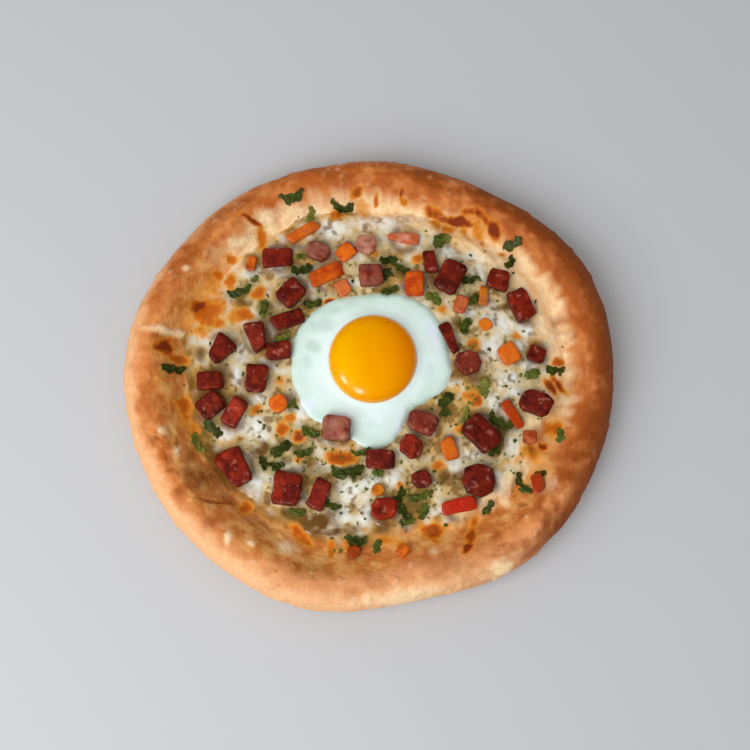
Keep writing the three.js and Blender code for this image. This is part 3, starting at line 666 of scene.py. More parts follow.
# Cheese
cheeseLook = {
    "white": (0.93, 0.95, 0.93),
    "cream": (0.84, 0.75, 0.55),
    "warm": (0.92, 0.77, 0.52),
    "yellow": (0.84, 0.63, 0.28),
    "olive": (0.43, 0.29, 0.10),
    "diceShadow": (0.42, 0.24, 0.08),
    "juice": (0.43, 0.39, 0.14),
    "greasyShade": (0.60, 0.41, 0.16),
    "cloudSize": 16.0,
    "patchSize": 4.6,
    "fineSize": 2.0,
    "diceShadowSpread": 2.2,
    "grainSize": 2.0,
    "grain": 0.05,
    "bumpSize": 3.0,
    "bump": 0.55,
    "roughness": 0.5,
    "specular": 0.15,
    "coat": 0.6,
    "coatRoughness": 0.14,
    "wetInPlaces": True,
}
cheeseRelief = {  # heights and sizes in millimetres
    "shred": 0.5,
    "shredSize": 7.0,
    "wrinkle": 0.25,
    "wrinkleSize": 3.0,
    "collar": 0.8,
    "collarSpread": 1.6,
    "whiteRise": 0.6,
    "bakedRise": 0.5,
    "edgeDrop": 0.4,
    "dip": 0.6,  # how far its border ends under the bread's skin
    "borderWidth": 9,
    "wander": 2.5,  # how far the border's noise shifts it
    "wanderSize": 5.0,
}
cheeseSides = {"cream": 12, "thin": 130, "greasyShade": 222}  # bearings; on the greasyShade side the border has grease with painted shade under the rim
patchLevel = 13  # height at which the patches and leaves were placed
whitePatches = [  # column, row, length, width, turn, strength
    (240, 241, 30, 12, 25, 0.6), (330, 229, 28, 22, 0, 1.0), (366, 219, 18, 24, 0, 0.9),
    (279, 267, 32, 12, 5, 1.0), (252, 272, 22, 12, 0, 0.9), (224, 298, 16, 20, 0, 0.7),
    (347, 257, 20, 10, 0, 0.8), (354, 283, 24, 9, 0, 0.7), (241, 352, 14, 22, 10, 0.7),
    (204, 337, 16, 18, 0, 0.5), (385, 222, 30, 22, 0, 1.0), (402, 216, 24, 22, 0, 0.9),
    (417, 238, 14, 20, 0, 0.9), (449, 251, 22, 12, 0, 1.0), (477, 254, 26, 18, 0, 1.0),
    (478, 271, 16, 22, 0, 0.8), (498, 322, 28, 24, 0, 0.9), (526, 330, 18, 18, 0, 1.0),
    (490, 348, 20, 28, 0, 0.8), (470, 312, 14, 10, 0, 1.0), (542, 327, 20, 14, 0, 0.8),
    (521, 345, 12, 16, 0, 0.9), (507, 379, 26, 20, 0, 1.0), (530, 365, 16, 12, 0, 0.9),
    (495, 402, 12, 18, 0, 0.9), (237, 376, 11, 28, 10, 0.9), (262, 398, 15, 12, 0, 0.9),
    (226, 433, 20, 14, 0, 1.0), (196, 391, 11, 10, 0, 0.8), (254, 428, 30, 22, 0, 0.9),
    (253, 485, 24, 26, 15, 1.0), (287, 464, 16, 9, 0, 0.9), (301, 497, 10, 16, 0, 0.9),
    (352, 489, 32, 22, 0, 1.0), (338, 515, 30, 22, 0, 0.9), (365, 512, 16, 22, 0, 1.0),
    (372, 480, 26, 14, 0, 1.0), (392, 478, 22, 18, 0, 1.0), (453, 463, 20, 18, 0, 0.8),
    (474, 456, 18, 12, 0, 0.8), (431, 430, 12, 16, 0, 0.9), (509, 449, 22, 24, 0, 0.9),
    (515, 391, 16, 10, 0, 1.0), (500, 476, 14, 14, 0, 0.9), (507, 500, 14, 16, 0, 0.6),
    (407, 526, 22, 10, 0, 0.7), (305, 390, 18, 14, 0, 0.6), (303, 412, 14, 14, 0, 0.7),
    (440, 510, 18, 9, 0, 0.7), (447, 360, 9, 22, 0, 0.8), (325, 440, 16, 9, 0, 0.6),
    (275, 500, 22, 9, 0, 0.6), (432, 228, 14, 10, 0, 0.8), (528, 290, 10, 20, 0, 0.8),
    (312, 285, 12, 10, 0, 0.7), (266, 290, 10, 10, 0, 0.6), (400, 296, 16, 8, 0, 0.5),
]
oliveAndShadedPatches = [  # places where fat and herb juice have gathered, and painted shade beside some diced pieces
    (262, 449, 24, 18, 0, 0.75), (314, 523, 46, 26, 0, 1.0), (294, 513, 24, 14, 0, 0.8),
    (201, 352, 13, 22, 0, 0.6), (222, 368, 22, 18, 0, 0.5), (313, 465, 28, 20, 0, 0.5),
    (236, 247, 26, 5, 20, 0.6), (240, 302, 22, 16, 0, 0.7), (308, 304, 14, 12, 0, 0.8),
    (268, 311, 16, 22, 0, 0.6), (432, 277, 15, 28, 0, 0.6), (480, 303, 18, 14, 0, 0.6),
    (505, 307, 30, 9, 5, 0.8), (483, 378, 28, 18, 0, 0.6), (456, 377, 13, 18, 0, 0.5),
    (497, 446, 18, 22, 0, 0.9), (443, 476, 17, 15, 0, 0.7), (458, 477, 15, 14, 0, 0.7),
    (412, 505, 30, 26, 0, 0.6), (384, 527, 20, 12, 0, 0.7), (350, 470, 30, 12, 0, 0.5),
    (300, 440, 34, 26, 0, 0.5), (283, 337, 16, 26, 0, 0.7), (296, 262, 16, 12, 0, 0.6),
    (395, 268, 26, 14, 0, 0.5), (463, 326, 14, 14, 0, 0.6), (445, 405, 14, 22, 0, 0.7),
    (330, 532, 40, 9, 5, 0.7), (270, 533, 22, 10, 35, 0.6), (520, 415, 14, 20, 0, 0.4),
    (190, 385, 10, 22, 0, 0.5), (206, 432, 14, 16, 0, 0.6), (218, 466, 46, 15, -59, 1.0),
    (236, 506, 36, 14, -30, 0.8), (352, 530, 18, 10, 0, 0.6), (500, 430, 16, 12, 0, 0.7),
    (533, 470, 12, 14, 0, 0.5),
]

herbs = [  # column, row, length, width, turn, lightness
    (293, 200, 22, 10, 15, 0.1), (311, 213, 14, 8, 75, 0.8), (342, 206, 21, 9, -5, 0.2),
    (302, 269, 17, 11, 10, 0.1), (239, 291, 22, 10, 20, 0.1), (264, 307, 14, 9, 80, 0.2),
    (313, 304, 16, 10, 10, 0.2), (389, 260, 16, 9, 5, 0.1), (402, 268, 14, 9, -20, 0.2),
    (387, 273, 9, 15, 0, 0.1), (390, 290, 14, 10, 30, 0.3), (441, 240, 17, 15, 40, 0.5),
    (512, 245, 14, 11, 20, 0.1), (511, 260, 14, 9, 70, 0.2), (467, 280, 15, 9, 0, 0.1),
    (433, 297, 14, 11, -30, 0.5), (474, 299, 12, 10, 60, 0.2), (465, 325, 14, 12, 60, 0.3),
    (485, 387, 14, 12, 80, 0.8), (466, 415, 15, 6, 65, 0.9), (446, 399, 15, 12, 40, 0.1),
    (445, 412, 8, 12, 0, 0.2), (500, 421, 22, 12, -30, 0.3), (497, 445, 20, 13, 70, 0.2),
    (523, 484, 21, 9, -55, 0.2), (540, 473, 9, 7, 0, 0.1), (489, 508, 12, 8, 65, 0.2),
    (400, 496, 17, 11, 60, 0.1), (418, 497, 18, 10, 15, 0.4), (405, 513, 16, 9, -60, 0.2),
    (424, 511, 14, 9, 70, 0.3), (407, 522, 12, 8, 0, 0.3), (377, 547, 12, 10, 70, 0.4),
    (356, 541, 19, 9, 0, 0.1), (281, 449, 19, 13, 35, 0.1), (271, 464, 24, 9, -15, 0.0),
    (348, 472, 30, 11, 3, 0.1), (361, 452, 18, 6, 12, 0.3), (310, 432, 17, 9, -30, 0.3),
    (304, 452, 16, 9, 10, 0.3), (212, 429, 17, 12, -40, 0.1), (197, 443, 18, 9, -65, 0.8),
    (333, 506, 16, 8, -20, 0.1), (297, 512, 14, 7, 0, 0.3), (283, 337, 14, 8, 20, 0.6),
    (293, 405, 6, 16, 0, 0.3), (557, 370, 19, 9, 5, 0.2), (561, 435, 14, 8, 80, 0.4),
    (175, 369, 18, 9, 0, 0.1), (533, 374, 13, 11, 20, 0.4), (378, 473, 9, 8, 0, 0.4),
    (301, 256, 8, 6, 0, 0.4), (254, 278, 8, 6, 40, 0.5),
]
herbPools = [(column, row, 1.7 * long, 1.9 * wide, turn, 0.75)  # green juice round the leaves
             for column, row, long, wide, turn, light in herbs]


def pieceCentres():
    # Middle and half width of every diced node, in millimetres about the bread's middle
    centres = []
    for node in frame["record"]["subparts"]:
        if not node["node"].startswith(("sausage", "pepper")):
            continue
        low, high = boxOf(node["node"])
        centres.append(((low[0] + high[0]) / 2, (low[1] + high[1]) / 2, (high - low)[:2].mean() / 2))
    return centres


def besideDice(x, y, spread):
    # One beside the nearest diced piece, falling off with the square of the distance
    best = np.zeros_like(x)
    for cx, cy, radius in diceCentres:
        away = np.hypot(x - cx, y - cy) - radius
        best = np.maximum(best, np.exp(-(away / spread) ** 2))
    return best


def cheeseDetail(x, y):
    # Noise of two sizes, a low collar where it clings to the diced pieces, and a rise at the white patches
    relief = cheeseRelief
    lumps = (relief["shred"] * noise(x, y, 0, relief["shredSize"], 41, 2)
             + relief["wrinkle"] * noise(x, y, 0, relief["wrinkleSize"], 43, 2))
    collar = relief["collar"] * besideDice(x, y, relief["collarSpread"])
    return lumps + collar + relief["whiteRise"] * spots(x, y, whitePatches, patchLevel, seed=6)


def doughSkin(x, y):
    # The bread's surface under a place, with its fine relief and colour
    degrees = bearingOf(x, y)
    inset = np.clip(outlineAt(degrees) - np.hypot(x, y), 0, None)
    share = inset / rimAt(degrees)
    dough = breadTop(np.minimum(inset, rimAt(degrees)), degrees)
    dough = dough + doughRelief(x, y, dough)
    push, blister = crustDetail(x, y, dough)
    return dough + push, share, degrees, blister


def cheeseSurface(x, y):
    # The CAD's top with lumps on it; towards its border it thins and dips under the bread's skin
    relief = cheeseRelief
    skin = doughSkin(x, y)[0]
    bare = rise(-2, 2, beyondWhite(x, y))
    lumps = cheeseDetail(x, y)
    baked = spots(x, y, browned, bakedLevels["cheese"], seed=4)
    toBorder = cheeseOuter(bearingOf(x, y)) - np.hypot(x, y)
    wander = relief["wander"] * noise(x, y, 0, relief["wanderSize"], 63, 2)
    thick = rise(0, relief["borderWidth"], toBorder + wander)
    top = cheeseTop(x, y) + (lumps + relief["bakedRise"] * baked) * bare
    top = top - relief["edgeDrop"] * (1 - rise(4, 14, toBorder))
    over = (top - skin + relief["dip"]) * thick - relief["dip"]
    return skin + over, baked, toBorder, over


def cheeseTint(x, y, baked, toBorder, over):
    # White patches on cream, yellow and olive patches that are partly painted shade, painted shade beside
    # the dice and along the lower-left border, and the bread's own colour at the border
    look, sides = cheeseLook, cheeseSides
    skin, share, degrees, blister = doughSkin(x, y)
    cloud = noise(x, y, 0, look["cloudSize"], 51, 2)
    patch = noise(x, y, 0, look["patchSize"], 53, 3)
    fine = noise(x, y, 0, look["fineSize"], 55, 2)
    bright = spots(x, y, whitePatches, patchLevel, 0.6, 6) * (0.85 + 0.4 * fine)
    # olive fat and juice, and painted shade beside some diced pieces
    oliveAndShade = spots(x, y, oliveAndShadedPatches, patchLevel, 0.6, 8)
    pools = spots(x, y, herbPools, patchLevel, 0.8, 18)
    # painted contact shadow beside the diced pieces, in an oily olive-brown
    besideDiceShadow = besideDice(x, y, look["diceShadowSpread"]) * rise(-0.5, 0.5, cloud + patch)
    # grease with painted shade along the border, under the rim on the lower left
    greasyShade = rise(0.0, 0.8, towards(sides["greasyShade"], degrees))
    creamy = rise(0.2, 0.8, towards(sides["cream"], degrees))
    tint = paintOver(allOver(look["cream"], x.shape), look, [
        ("warm", 1 - rise(4, 18, toBorder + 5 * patch)),
        ("yellow", rise(-0.15, 0.5, cloud - 0.6 * patch) * 0.7),
        ("white", rise(0.0, 0.6, patch + 0.3 * fine) * 0.55),
        ("white", bright),
        ("greasyShade", (1 - rise(4, 16, toBorder + 4 * patch)) * greasyShade),
        ("olive", oliveAndShade * (1.25 + 0.6 * fine)),
        ("olive", rise(0.12, 0.5, -patch - 0.5 * fine) * 0.7),
        ("juice", pools * (0.75 + 0.5 * fine)),
        ("diceShadow", besideDiceShadow * 0.75),
    ])
    tint = blendColour(tint, crustLook["cream"], (1 - rise(5, 16, toBorder + 5 * patch)) * creamy)
    dough = crustTint(x, y, skin, share, degrees, blister)
    reach = 7 - 2.5 * towards(sides["thin"], degrees)  # how far in the bread shows through
    cover = rise(0.05, 0.8, over) * rise(-1, reach, toBorder + 0.5 * reach * patch + 2 * fine)
    wet = cover * (1 - baked) * rise(-0.4, 0.5, bright + patch)
    return dough + (brownColour(tint, baked) - dough) * cover[..., None], wet


def makeCheese():
    # Rings from the border in to the middle, over a few that run under them through the bread
    degrees = np.arange(cheese["around"]) * 360 / cheese["around"]
    seen = np.linspace(1, cheese["eggShare"], cheese["rings"])
    hidden = np.linspace(cheese["eggShare"], 0.02, cheese["hiddenRings"] + 1)[1:]
    radius = cheeseOuter(degrees) * np.concatenate([seen, hidden])[:, None]
    x, y = atBearing(radius, degrees)
    top, baked, toBorder, over = cheeseSurface(x, y)
    below = np.r_[0:32:4, 32:len(radius):22]  # the underside's rings, close together on the rim's slope
    inset = np.minimum(outlineAt(degrees) - radius[below], rimAt(degrees))
    under = np.minimum(breadTop(inset, degrees) - 0.3, top[below] - 0.6)
    under = np.stack([x[below], y[below], under], axis=-1)[::-1]
    rings = np.concatenate([under, np.stack([x, y, top], axis=-1)])
    tint, wet = cheeseTint(x, y, baked, toBorder, over)
    tint = np.concatenate([np.repeat(tint[:1], len(under), axis=0), tint])
    wet = np.concatenate([np.zeros(under.shape[:2]), wet])
    poles = [[0, 0, bread["floorHeight"] + 0.1], [0, 0, top[-1].mean()]]
    material = makeMaterial("meltedCheese", cheeseLook)
    closedPiece("meltedCheese", rings, poles, tint, material, ["cheese"], wet)


diceCentres = pieceCentres()
makeCheese()
print("cheese made")

# Fried egg
whiteLook = {
    "white": (0.90, 0.98, 0.98),
    "thin": (0.80, 0.90, 0.85),
    "smudge": (0.66, 0.74, 0.72),
    "glintBlue": (0.90, 0.94, 1.0),
    "rim": (0.66, 0.73, 0.66),
    "thinSize": 9.0,
    "grainSize": 6.0,
    "grain": 0.02,
    "bumpSize": 5.0,
    "bump": 0.25,
    "roughness": 0.34,
    "specular": 0.2,
    "coat": 0.08,
    "coatRoughness": 0.2,
}
whiteShape = {  # heights and sizes in millimetres
    "ragged": 1.2,
    "raggedSize": 6.0,
    "raggedRadius": 40,  # of the circle along which the ragged border's noise is read
    "lump": 0.35,
    "lumpSize": 11.0,
    "collar": 0.9,  # height to which it climbs beside the yolk
    "collarSpread": 2.2,
    "edge": 1.3,  # how far its border rounds over
    "edgeWidth": 5,
    "foot": 0.3,  # how far it reaches down into the cheese
    "around": 300,
    "rings": 80,
}
smudgeLevel = 14  # height at which these were placed
smudges = [  # places where herbs show through the white
    (322, 325, 24, 15, 5, 0.4), (314, 346, 18, 14, 0, 0.4), (331, 311, 20, 9, 15, 0.3),
    (307, 361, 12, 14, 0, 0.25), (372, 424, 18, 10, 0, 0.2), (431, 372, 12, 16, 0, 0.2),
    (352, 303, 18, 8, 0, 0.2),
]
# painted highlights, bluish white, where the white shone
paintedGlints = [(434, 337, 12, 36, 15, 0.9), (399, 424, 10, 26, 0, 0.6), (306, 405, 20, 14, 0, 0.6)]
yolkLook = {
    "middle": (1.0, 0.67, 0.0),
    # painted light on the side towards the window, painted shade on the side away from it
    "litSide": (1.0, 0.74, 0.0),
    "far": (0.94, 0.57, 0.0),
    "side": (1.0, 0.60, 0.0),
    "grainSize": 8.0,
    "grain": 0.01,
    "bumpSize": 9.0,
    "bump": 0.05,
    "roughness": 0.25,
    "specular": 0.1,
    "coat": 0.35,
    "coatRoughness": 0.08,
    "softness": 1.2,
    "softColour": (1.0, 0.35, 0.02),
}


def makeWhite():
    # Rings closer together towards a ragged border; a collar falls off with the square of the distance
    # from the yolk, and the border rounds over with the square of a smooth step
    shape = whiteShape
    degrees = np.arange(shape["around"]) * 360 / shape["around"]
    shares = np.sin(np.linspace(math.pi / 2, 0.03, shape["rings"]))[:, None]
    circle = atBearing(shape["raggedRadius"], degrees)
    border = whiteBorder(degrees) + shape["ragged"] * noise(*circle, 0, shape["raggedSize"], 71, 3)
    radius = border * shares
    alongX, alongY = atBearing(radius, degrees)
    x, y = eggMiddle[0] + alongX, eggMiddle[1] + alongY
    yolkX, yolkY = placeOf(*egg["yolkAt"], egg["level"] + cheese["gap"] + egg["yolkOutline"])
    fromYolk = np.hypot(x - yolkX, y - yolkY) - egg["yolkRadius"]
    lumps = shape["lump"] * noise(x, y, 0, shape["lumpSize"], 73, 2) * rise(0, 6, fromYolk)
    collar = shape["collar"] * np.exp(-(np.maximum(fromYolk, 0) / shape["collarSpread"]) ** 2)
    edge = shape["edge"] * (1 - rise(0, shape["edgeWidth"], border - radius)) ** 2
    top = whiteTop(x, y) + lumps + collar - edge
    base = bread["floorHeight"] + cheese["depth"] - shape["foot"]
    rings = np.stack([x, y, top], axis=-1)
    foot = rings[:1].copy()
    foot[..., 2] = base
    rings = np.concatenate([foot, rings])
    wayOut = np.broadcast_to(np.concatenate([shares[:1], shares]), rings.shape[:2])
    poles = [[*eggMiddle, base], [*eggMiddle, egg["level"]]]
    tint = whiteTint(rings[..., 0], rings[..., 1], degrees, wayOut)
    material = makeMaterial("eggWhite", whiteLook)
    closedPiece("eggWhite", rings, poles, tint, material, ["egg_white"])


def whiteTint(x, y, degrees, wayOut):
    # White, thinner and greyer towards the border by smooth steps, with the smudges and painted highlights
    # on it
    thin = rise(0.62, 1.0, wayOut + 0.12 * noise(x, y, 0, whiteLook["thinSize"], 75, 2))
    inside = whiteBorder(degrees) * (1 - wayOut)
    return paintOver(allOver(whiteLook["white"], x.shape), whiteLook, [
        ("thin", thin * 0.85),
        ("rim", (1 - rise(0.4, 2.0, inside)) * 0.9),
        ("smudge", spots(x, y, smudges, smudgeLevel, 0.5, 16)),
        ("glintBlue", spots(x, y, paintedGlints, smudgeLevel, 0.5, 19)),
    ])


def makeYolk(around=128, steps=40):
    # The CAD's dome: the radius falls with a power of the cosine as the height grows with the sine
    foot = egg["level"] + cheese["gap"]
    yolkX, yolkY = placeOf(*egg["yolkAt"], foot + egg["yolkOutline"])
    bend = np.linspace(0, math.pi / 2 * 0.985, steps)[:, None]
    turn = np.arange(around) * 2 * math.pi / around
    radius = egg["yolkRadius"] * np.cos(bend) ** egg["yolkBulge"]
    radius = radius * (1 - 0.006 * (1 + np.cos(2 * turn + 0.7)))
    x, y = yolkX + radius * np.cos(turn), yolkY + radius * np.sin(turn)
    height = np.broadcast_to(foot + egg["yolkRise"] * np.sin(bend), x.shape)
    rings = np.stack([x, y, height], axis=-1)
    low = rings[:1].copy()
    low[..., 2] = foot - 1.0
    rings = np.concatenate([low, rings])
    side = np.hypot(rings[..., 0] - yolkX, rings[..., 1] - yolkY) / egg["yolkRadius"]
    # painted light on the side towards the window, painted shade on the side away from it
    leftward = ((yolkX - rings[..., 0]) * 0.98 - (rings[..., 1] - yolkY) * 0.2) / egg["yolkRadius"]
    tint = paintOver(allOver(yolkLook["middle"], side.shape), yolkLook, [
        ("litSide", rise(0.0, 0.8, leftward)),
        ("far", rise(0.0, 1.0, -leftward)),
        ("side", rise(0.7, 1.0, side) * 0.6),
    ])
    poles = [[yolkX, yolkY, foot - 1.0], [yolkX, yolkY, foot + egg["yolkRise"]]]
    material = makeMaterial("eggYolk", yolkLook)
    closedPiece("eggYolk", rings, poles, tint, material, ["egg_yolk"])


makeWhite()
makeYolk()
print("egg made")

# Diced sausage and pepper
sausageLook = {
    "meat": (0.47, 0.10, 0.03),
    "deep": (0.29, 0.05, 0.02),
    "bright": (0.64, 0.19, 0.08),
    "fat": (0.84, 0.56, 0.48),
    "film": (0.84, 0.60, 0.50),
    "fatSize": 1.9,
    "brightSize": 4.4,
    "deepSize": 3.8,
    "filmSize": 3.0,
    "grainSize": 1.8,
    "grain": 0.15,
    "bumpSize": 1.8,
    "bump": 0.9,
    "roughness": 0.6,
    "specular": 0.12,
    "coat": 0.16,
    "coatRoughness": 0.18,
    "sharpness": 42,
}
pepperLook = {
    "orange": (0.88, 0.42, 0.06),
    "deep": (0.74, 0.24, 0.0),
    "red": (0.72, 0.12, 0.0),
    "rust": (0.60, 0.22, 0.04),
    "salmon": (0.80, 0.42, 0.24),
    "pink": (0.90, 0.62, 0.55),
    "amber": (0.84, 0.48, 0.08),
    "cloudSize": 3.6,
    "grainSize": 2.2,
    "grain": 0.12,
    "bumpSize": 2.2,
    "bump": 0.5,
    "roughness": 0.4,
    "specular": 0.15,
    "coat": 0.3,
    "coatRoughness": 0.16,
    "sharpness": 26,
}


def hullPlanes(nodeName):
    # Facing and distance of each different face of the node's hull, from the middle of its box
    node = bpy.data.objects[nodeName]
    work = bmesh.new()
    for vertex in node.data.vertices:
        work.verts.new(node.matrix_world @ vertex.co)
    bmesh.ops.remove_doubles(work, verts=work.verts, dist=1e-6)
    bmesh.ops.convex_hull(work, input=work.verts)
    work.normal_update()
    middle = sum((np.array(v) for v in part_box(nodeName)), np.zeros(3)) / 2 * 1000
    facing = np.array([face.normal for face in work.faces])
    onFace = np.array([face.verts[0].co for face in work.faces]) * 1000
    work.free()
    distance = ((onFace - middle) * facing).sum(axis=1)
    flip = np.sign(distance)
    planes = np.column_stack([facing * flip[:, None], np.abs(distance)])
    keep = np.unique(np.round(planes, 2), axis=0, return_index=True)[1]
    planes = planes[keep]
    return middle, planes[:, :3], planes[:, 3]


chunkRelief = {  # shares of the reach, and sizes in millimetres
    "shrink": 0.975,
    "dent": 0.08,
    "dentSize": 4.5,
    "pit": 0.035,
    "pitSize": 1.6,
}


def chunkShape(nodeName, sharpness, seed, around=72, steps=44):
    # Reach in each direction: the faces' distances put together by a power sum, which rounds the edges
    middle, facing, distance = hullPlanes(nodeName)
    lift = np.linspace(-math.pi / 2, math.pi / 2, steps + 2)[1:-1, None]
    turn = np.arange(around) * 2 * math.pi / around
    way = np.stack([np.cos(lift) * np.cos(turn), np.cos(lift) * np.sin(turn),
                    np.broadcast_to(np.sin(lift), (steps, around))], axis=-1)
    closeness = np.maximum(way @ facing.T / distance, 0) ** sharpness
    reach = closeness.sum(axis=-1) ** (-1 / sharpness)
    point = way * reach[..., None]
    x, y, z = np.moveaxis(point, -1, 0)
    relief = chunkRelief
    dents = (relief["dent"] * noise(x, y, z, relief["dentSize"], seed, 2)
             + relief["pit"] * noise(x, y, z, relief["pitSize"], seed + 3, 2))
    reach = reach * (relief["shrink"] + dents)
    point = way * reach[..., None] + middle + [*breadMiddle, 0]
    edge = rise(1.0, 1.45, reach / np.sort(distance)[len(distance) // 4])
    return point, edge


def chunkPiece(name, node, look, material, seed, paint):
    # Its shape and colours, with poles in the middle of the first and the last ring
    rings, edge = chunkShape(node, look["sharpness"], seed)
    poles = [rings[0].mean(axis=0), rings[-1].mean(axis=0)]
    closedPiece(name, rings, poles, paint(rings, edge), material, [node])


# By die number: how much it is filmed over by cheese or egg, and its brightness where that isn't 1
milky = {14: 0.26, 15: 0.38, 16: 0.21, 17: 0.12, 23: 0.03, 28: 0.07}
brightness = {10: 1.45, 29: 1.2, 32: 1.4, 13: 1.15, 21: 1.2, 15: 1.1, 5: 0.85, 8: 0.85, 30: 0.7, 26: 0.8,
              24: 0.9, 27: 0.8, 25: 0.9, 1: 1.15, 2: 1.1, 3: 1.1, 11: 1.15, 12: 1.1, 9: 0.75, 6: 0.7, 7: 0.9,
              19: 0.75, 20: 0.85, 22: 0.9, 31: 0.85}


def sausagePaint(seed, film, bright):
    # Bright and deep clouds by noise, deep at the edges, painted shade low down, specks of fat, and a film
    # over all
    def paint(rings, edge):
        x, y, z = np.moveaxis(rings, -1, 0)
        look = sausageLook
        height = (z - z.min()) / (z.max() - z.min())
        lighter = noise(x, y, z, look["brightSize"], seed, 2)
        darker = noise(x, y, z, look["deepSize"], seed + 1, 2)
        fat = rise(0.38, 0.56, noise(x, y, z, look["fatSize"], seed + 2, 2))
        tint = paintOver(allOver(look["meat"], x.shape), look, [
            ("bright", rise(-0.1, 0.55, lighter) * 0.6),
            ("deep", rise(0.0, 0.5, darker) * 0.75),
            ("deep", 0.35 * edge),
            # painted shade: darker towards the bottom, where the die sits in the cheese
            ("deep", 0.8 * (1 - rise(0.35, 0.8, height))),
        ])
        return paintOver(tint * bright, look, [
            ("fat", fat * 0.28),
            ("film", film * (1.1 + 1.6 * noise(x, y, z, look["filmSize"], seed + 3, 2))),
        ])
    return paint


def pepperPaint(seed, main, other):
    # Clouds of the other colour by noise, and rust at the edges
    def paint(rings, edge):
        clouds = noise(*np.moveaxis(rings, -1, 0), pepperLook["cloudSize"], seed, 2)
        return paintOver(allOver(pepperLook[main], edge.shape), pepperLook, [
            (other, rise(-0.2, 0.5, clouds) * 0.7),
            ("rust", 0.3 * edge),
        ])
    return paint


pepperColours = {  # bit number: its main colour and the one it is clouded with
    1: ("orange", "salmon"), 2: ("orange", "deep"), 3: ("deep", "orange"), 4: ("salmon", "orange"),
    5: ("salmon", "pink"), 6: ("deep", "orange"), 7: ("salmon", "deep"), 8: ("orange", "salmon"),
    9: ("orange", "deep"), 10: ("deep", "deep"), 11: ("orange", "salmon"), 12: ("red", "red"),
    13: ("rust", "salmon"), 14: ("orange", "rust"), 15: ("rust", "red"), 16: ("rust", "rust"),
    17: ("amber", "orange"), 18: ("amber", "salmon"), 19: ("amber", "rust"), 20: ("orange", "rust"),
}
sausageSkin = makeMaterial("slicedSausage", sausageLook)
pepperSkin = makeMaterial("softPepper", pepperLook)
for number in range(1, 33):
    chunkPiece(f"sausageDie{number:02d}", f"sausage_{number:02d}", sausageLook, sausageSkin,
               100 + 7 * number,
               sausagePaint(300 + 5 * number, milky.get(number, 0), brightness.get(number, 1)))
for number in range(1, 21):
    chunkPiece(f"pepperBit{number:02d}", f"pepper_{number:02d}", pepperLook, pepperSkin,
               500 + 7 * number, pepperPaint(700 + 5 * number, *pepperColours[number]))
print("sausage and pepper made")

# Herbs
herbLevel = 14  # height at which the leaves were placed
herbLook = {
    "dark": (0.20, 0.23, 0.04),
    "green": (0.34, 0.39, 0.10),
    "olive": (0.54, 0.53, 0.22),
    "grainSize": 1.5,
    "grain": 0.25,
    "bumpSize": 1.2,
    "bump": 0.3,
    "roughness": 0.5,
    "specular": 0.25,
}

herbShape = {
    "lift": 0.45,  # millimetres over what it lies on
    "thickness": 0.25,
    "curl": 0.12,  # share of the length
}


def groundAt(x, y):
    # The upper of bread and cheese, or the egg white inside its border
    dough = doughSkin(x, y)[0]
    onCheese = np.hypot(x, y) < cheeseOuter(bearingOf(x, y))
    surface = np.where(onCheese, np.maximum(cheeseSurface(x, y)[0], dough), dough)
    return np.where(beyondWhite(x, y) < 0, np.maximum(surface, whiteTop(x, y)), surface)


def leafSheets(places, draw, across, down):
    # Each leaf: a lens whose edge is notched by waves, curled along and across, with a face on both sides
    cx, cy, long, wide, turn, light = np.array(places).T[:, :, None, None]
    u = np.linspace(-1, 1, across)[:, None]
    v = np.linspace(-1, 1, down)
    start = draw.uniform(0, 6, (5, len(places), 1, 1))
    notch = 1 + 0.25 * np.sin(5.2 * u + start[0]) + 0.15 * np.sin(9 * u + start[1])
    along = u * long / 2 + 0 * v
    sideways = v * wide / 2 * np.sqrt(np.maximum(1 - 0.85 * u ** 2, 0.02)) * notch
    sideways = sideways + 0.12 * long * np.sin(start[2]) * (u ** 2 - 0.5)
    x = cx + along * np.cos(turn) - sideways * np.sin(turn)
    y = cy + along * np.sin(turn) + sideways * np.cos(turn)
    curl = 0.5 * (1 + np.sin(start[3])) * v ** 2 + 0.5 * np.sin(3 * u + 2.2 * v + start[4])
    height = groundAt(x, y) + herbShape["lift"] + herbShape["curl"] * long * curl
    sheet = np.stack([x, y, height], axis=-1)
    points = np.stack([sheet, sheet - [0, 0, herbShape["thickness"]]], axis=1)
    light = np.broadcast_to(light[:, None], points.shape[:-1])
    dark = allOver(herbLook["dark"], light.shape)
    return points, paintOver(dark, herbLook, [("green", light * 1.8), ("olive", (light - 0.4) * 1.5)])


def leafletPlaces(draw):
    # Three leaflets for each leaf of the list: one along it and two that fan out from its ends
    places = []
    for column, row, long, wide, turn, light in herbs:
        cx, cy = placeOf(column, row, herbLevel)
        long, wide = long * picture["pixelSize"], wide * picture["pixelSize"]
        for step, share in ((0.0, 0.8), (0.32, 0.6), (-0.32, 0.62)):
            a = math.radians(turn) + draw.uniform(-0.2, 0.2) + 2.4 * step
            x = cx + step * long * math.cos(math.radians(turn)) + draw.uniform(-0.12, 0.12) * wide
            y = cy + step * long * math.sin(math.radians(turn)) + draw.uniform(-0.12, 0.12) * wide
            places.append((x, y, share * long, 0.75 * wide * draw.uniform(0.7, 1.1), a,
                           light + draw.uniform(-0.15, 0.2)))
    return places


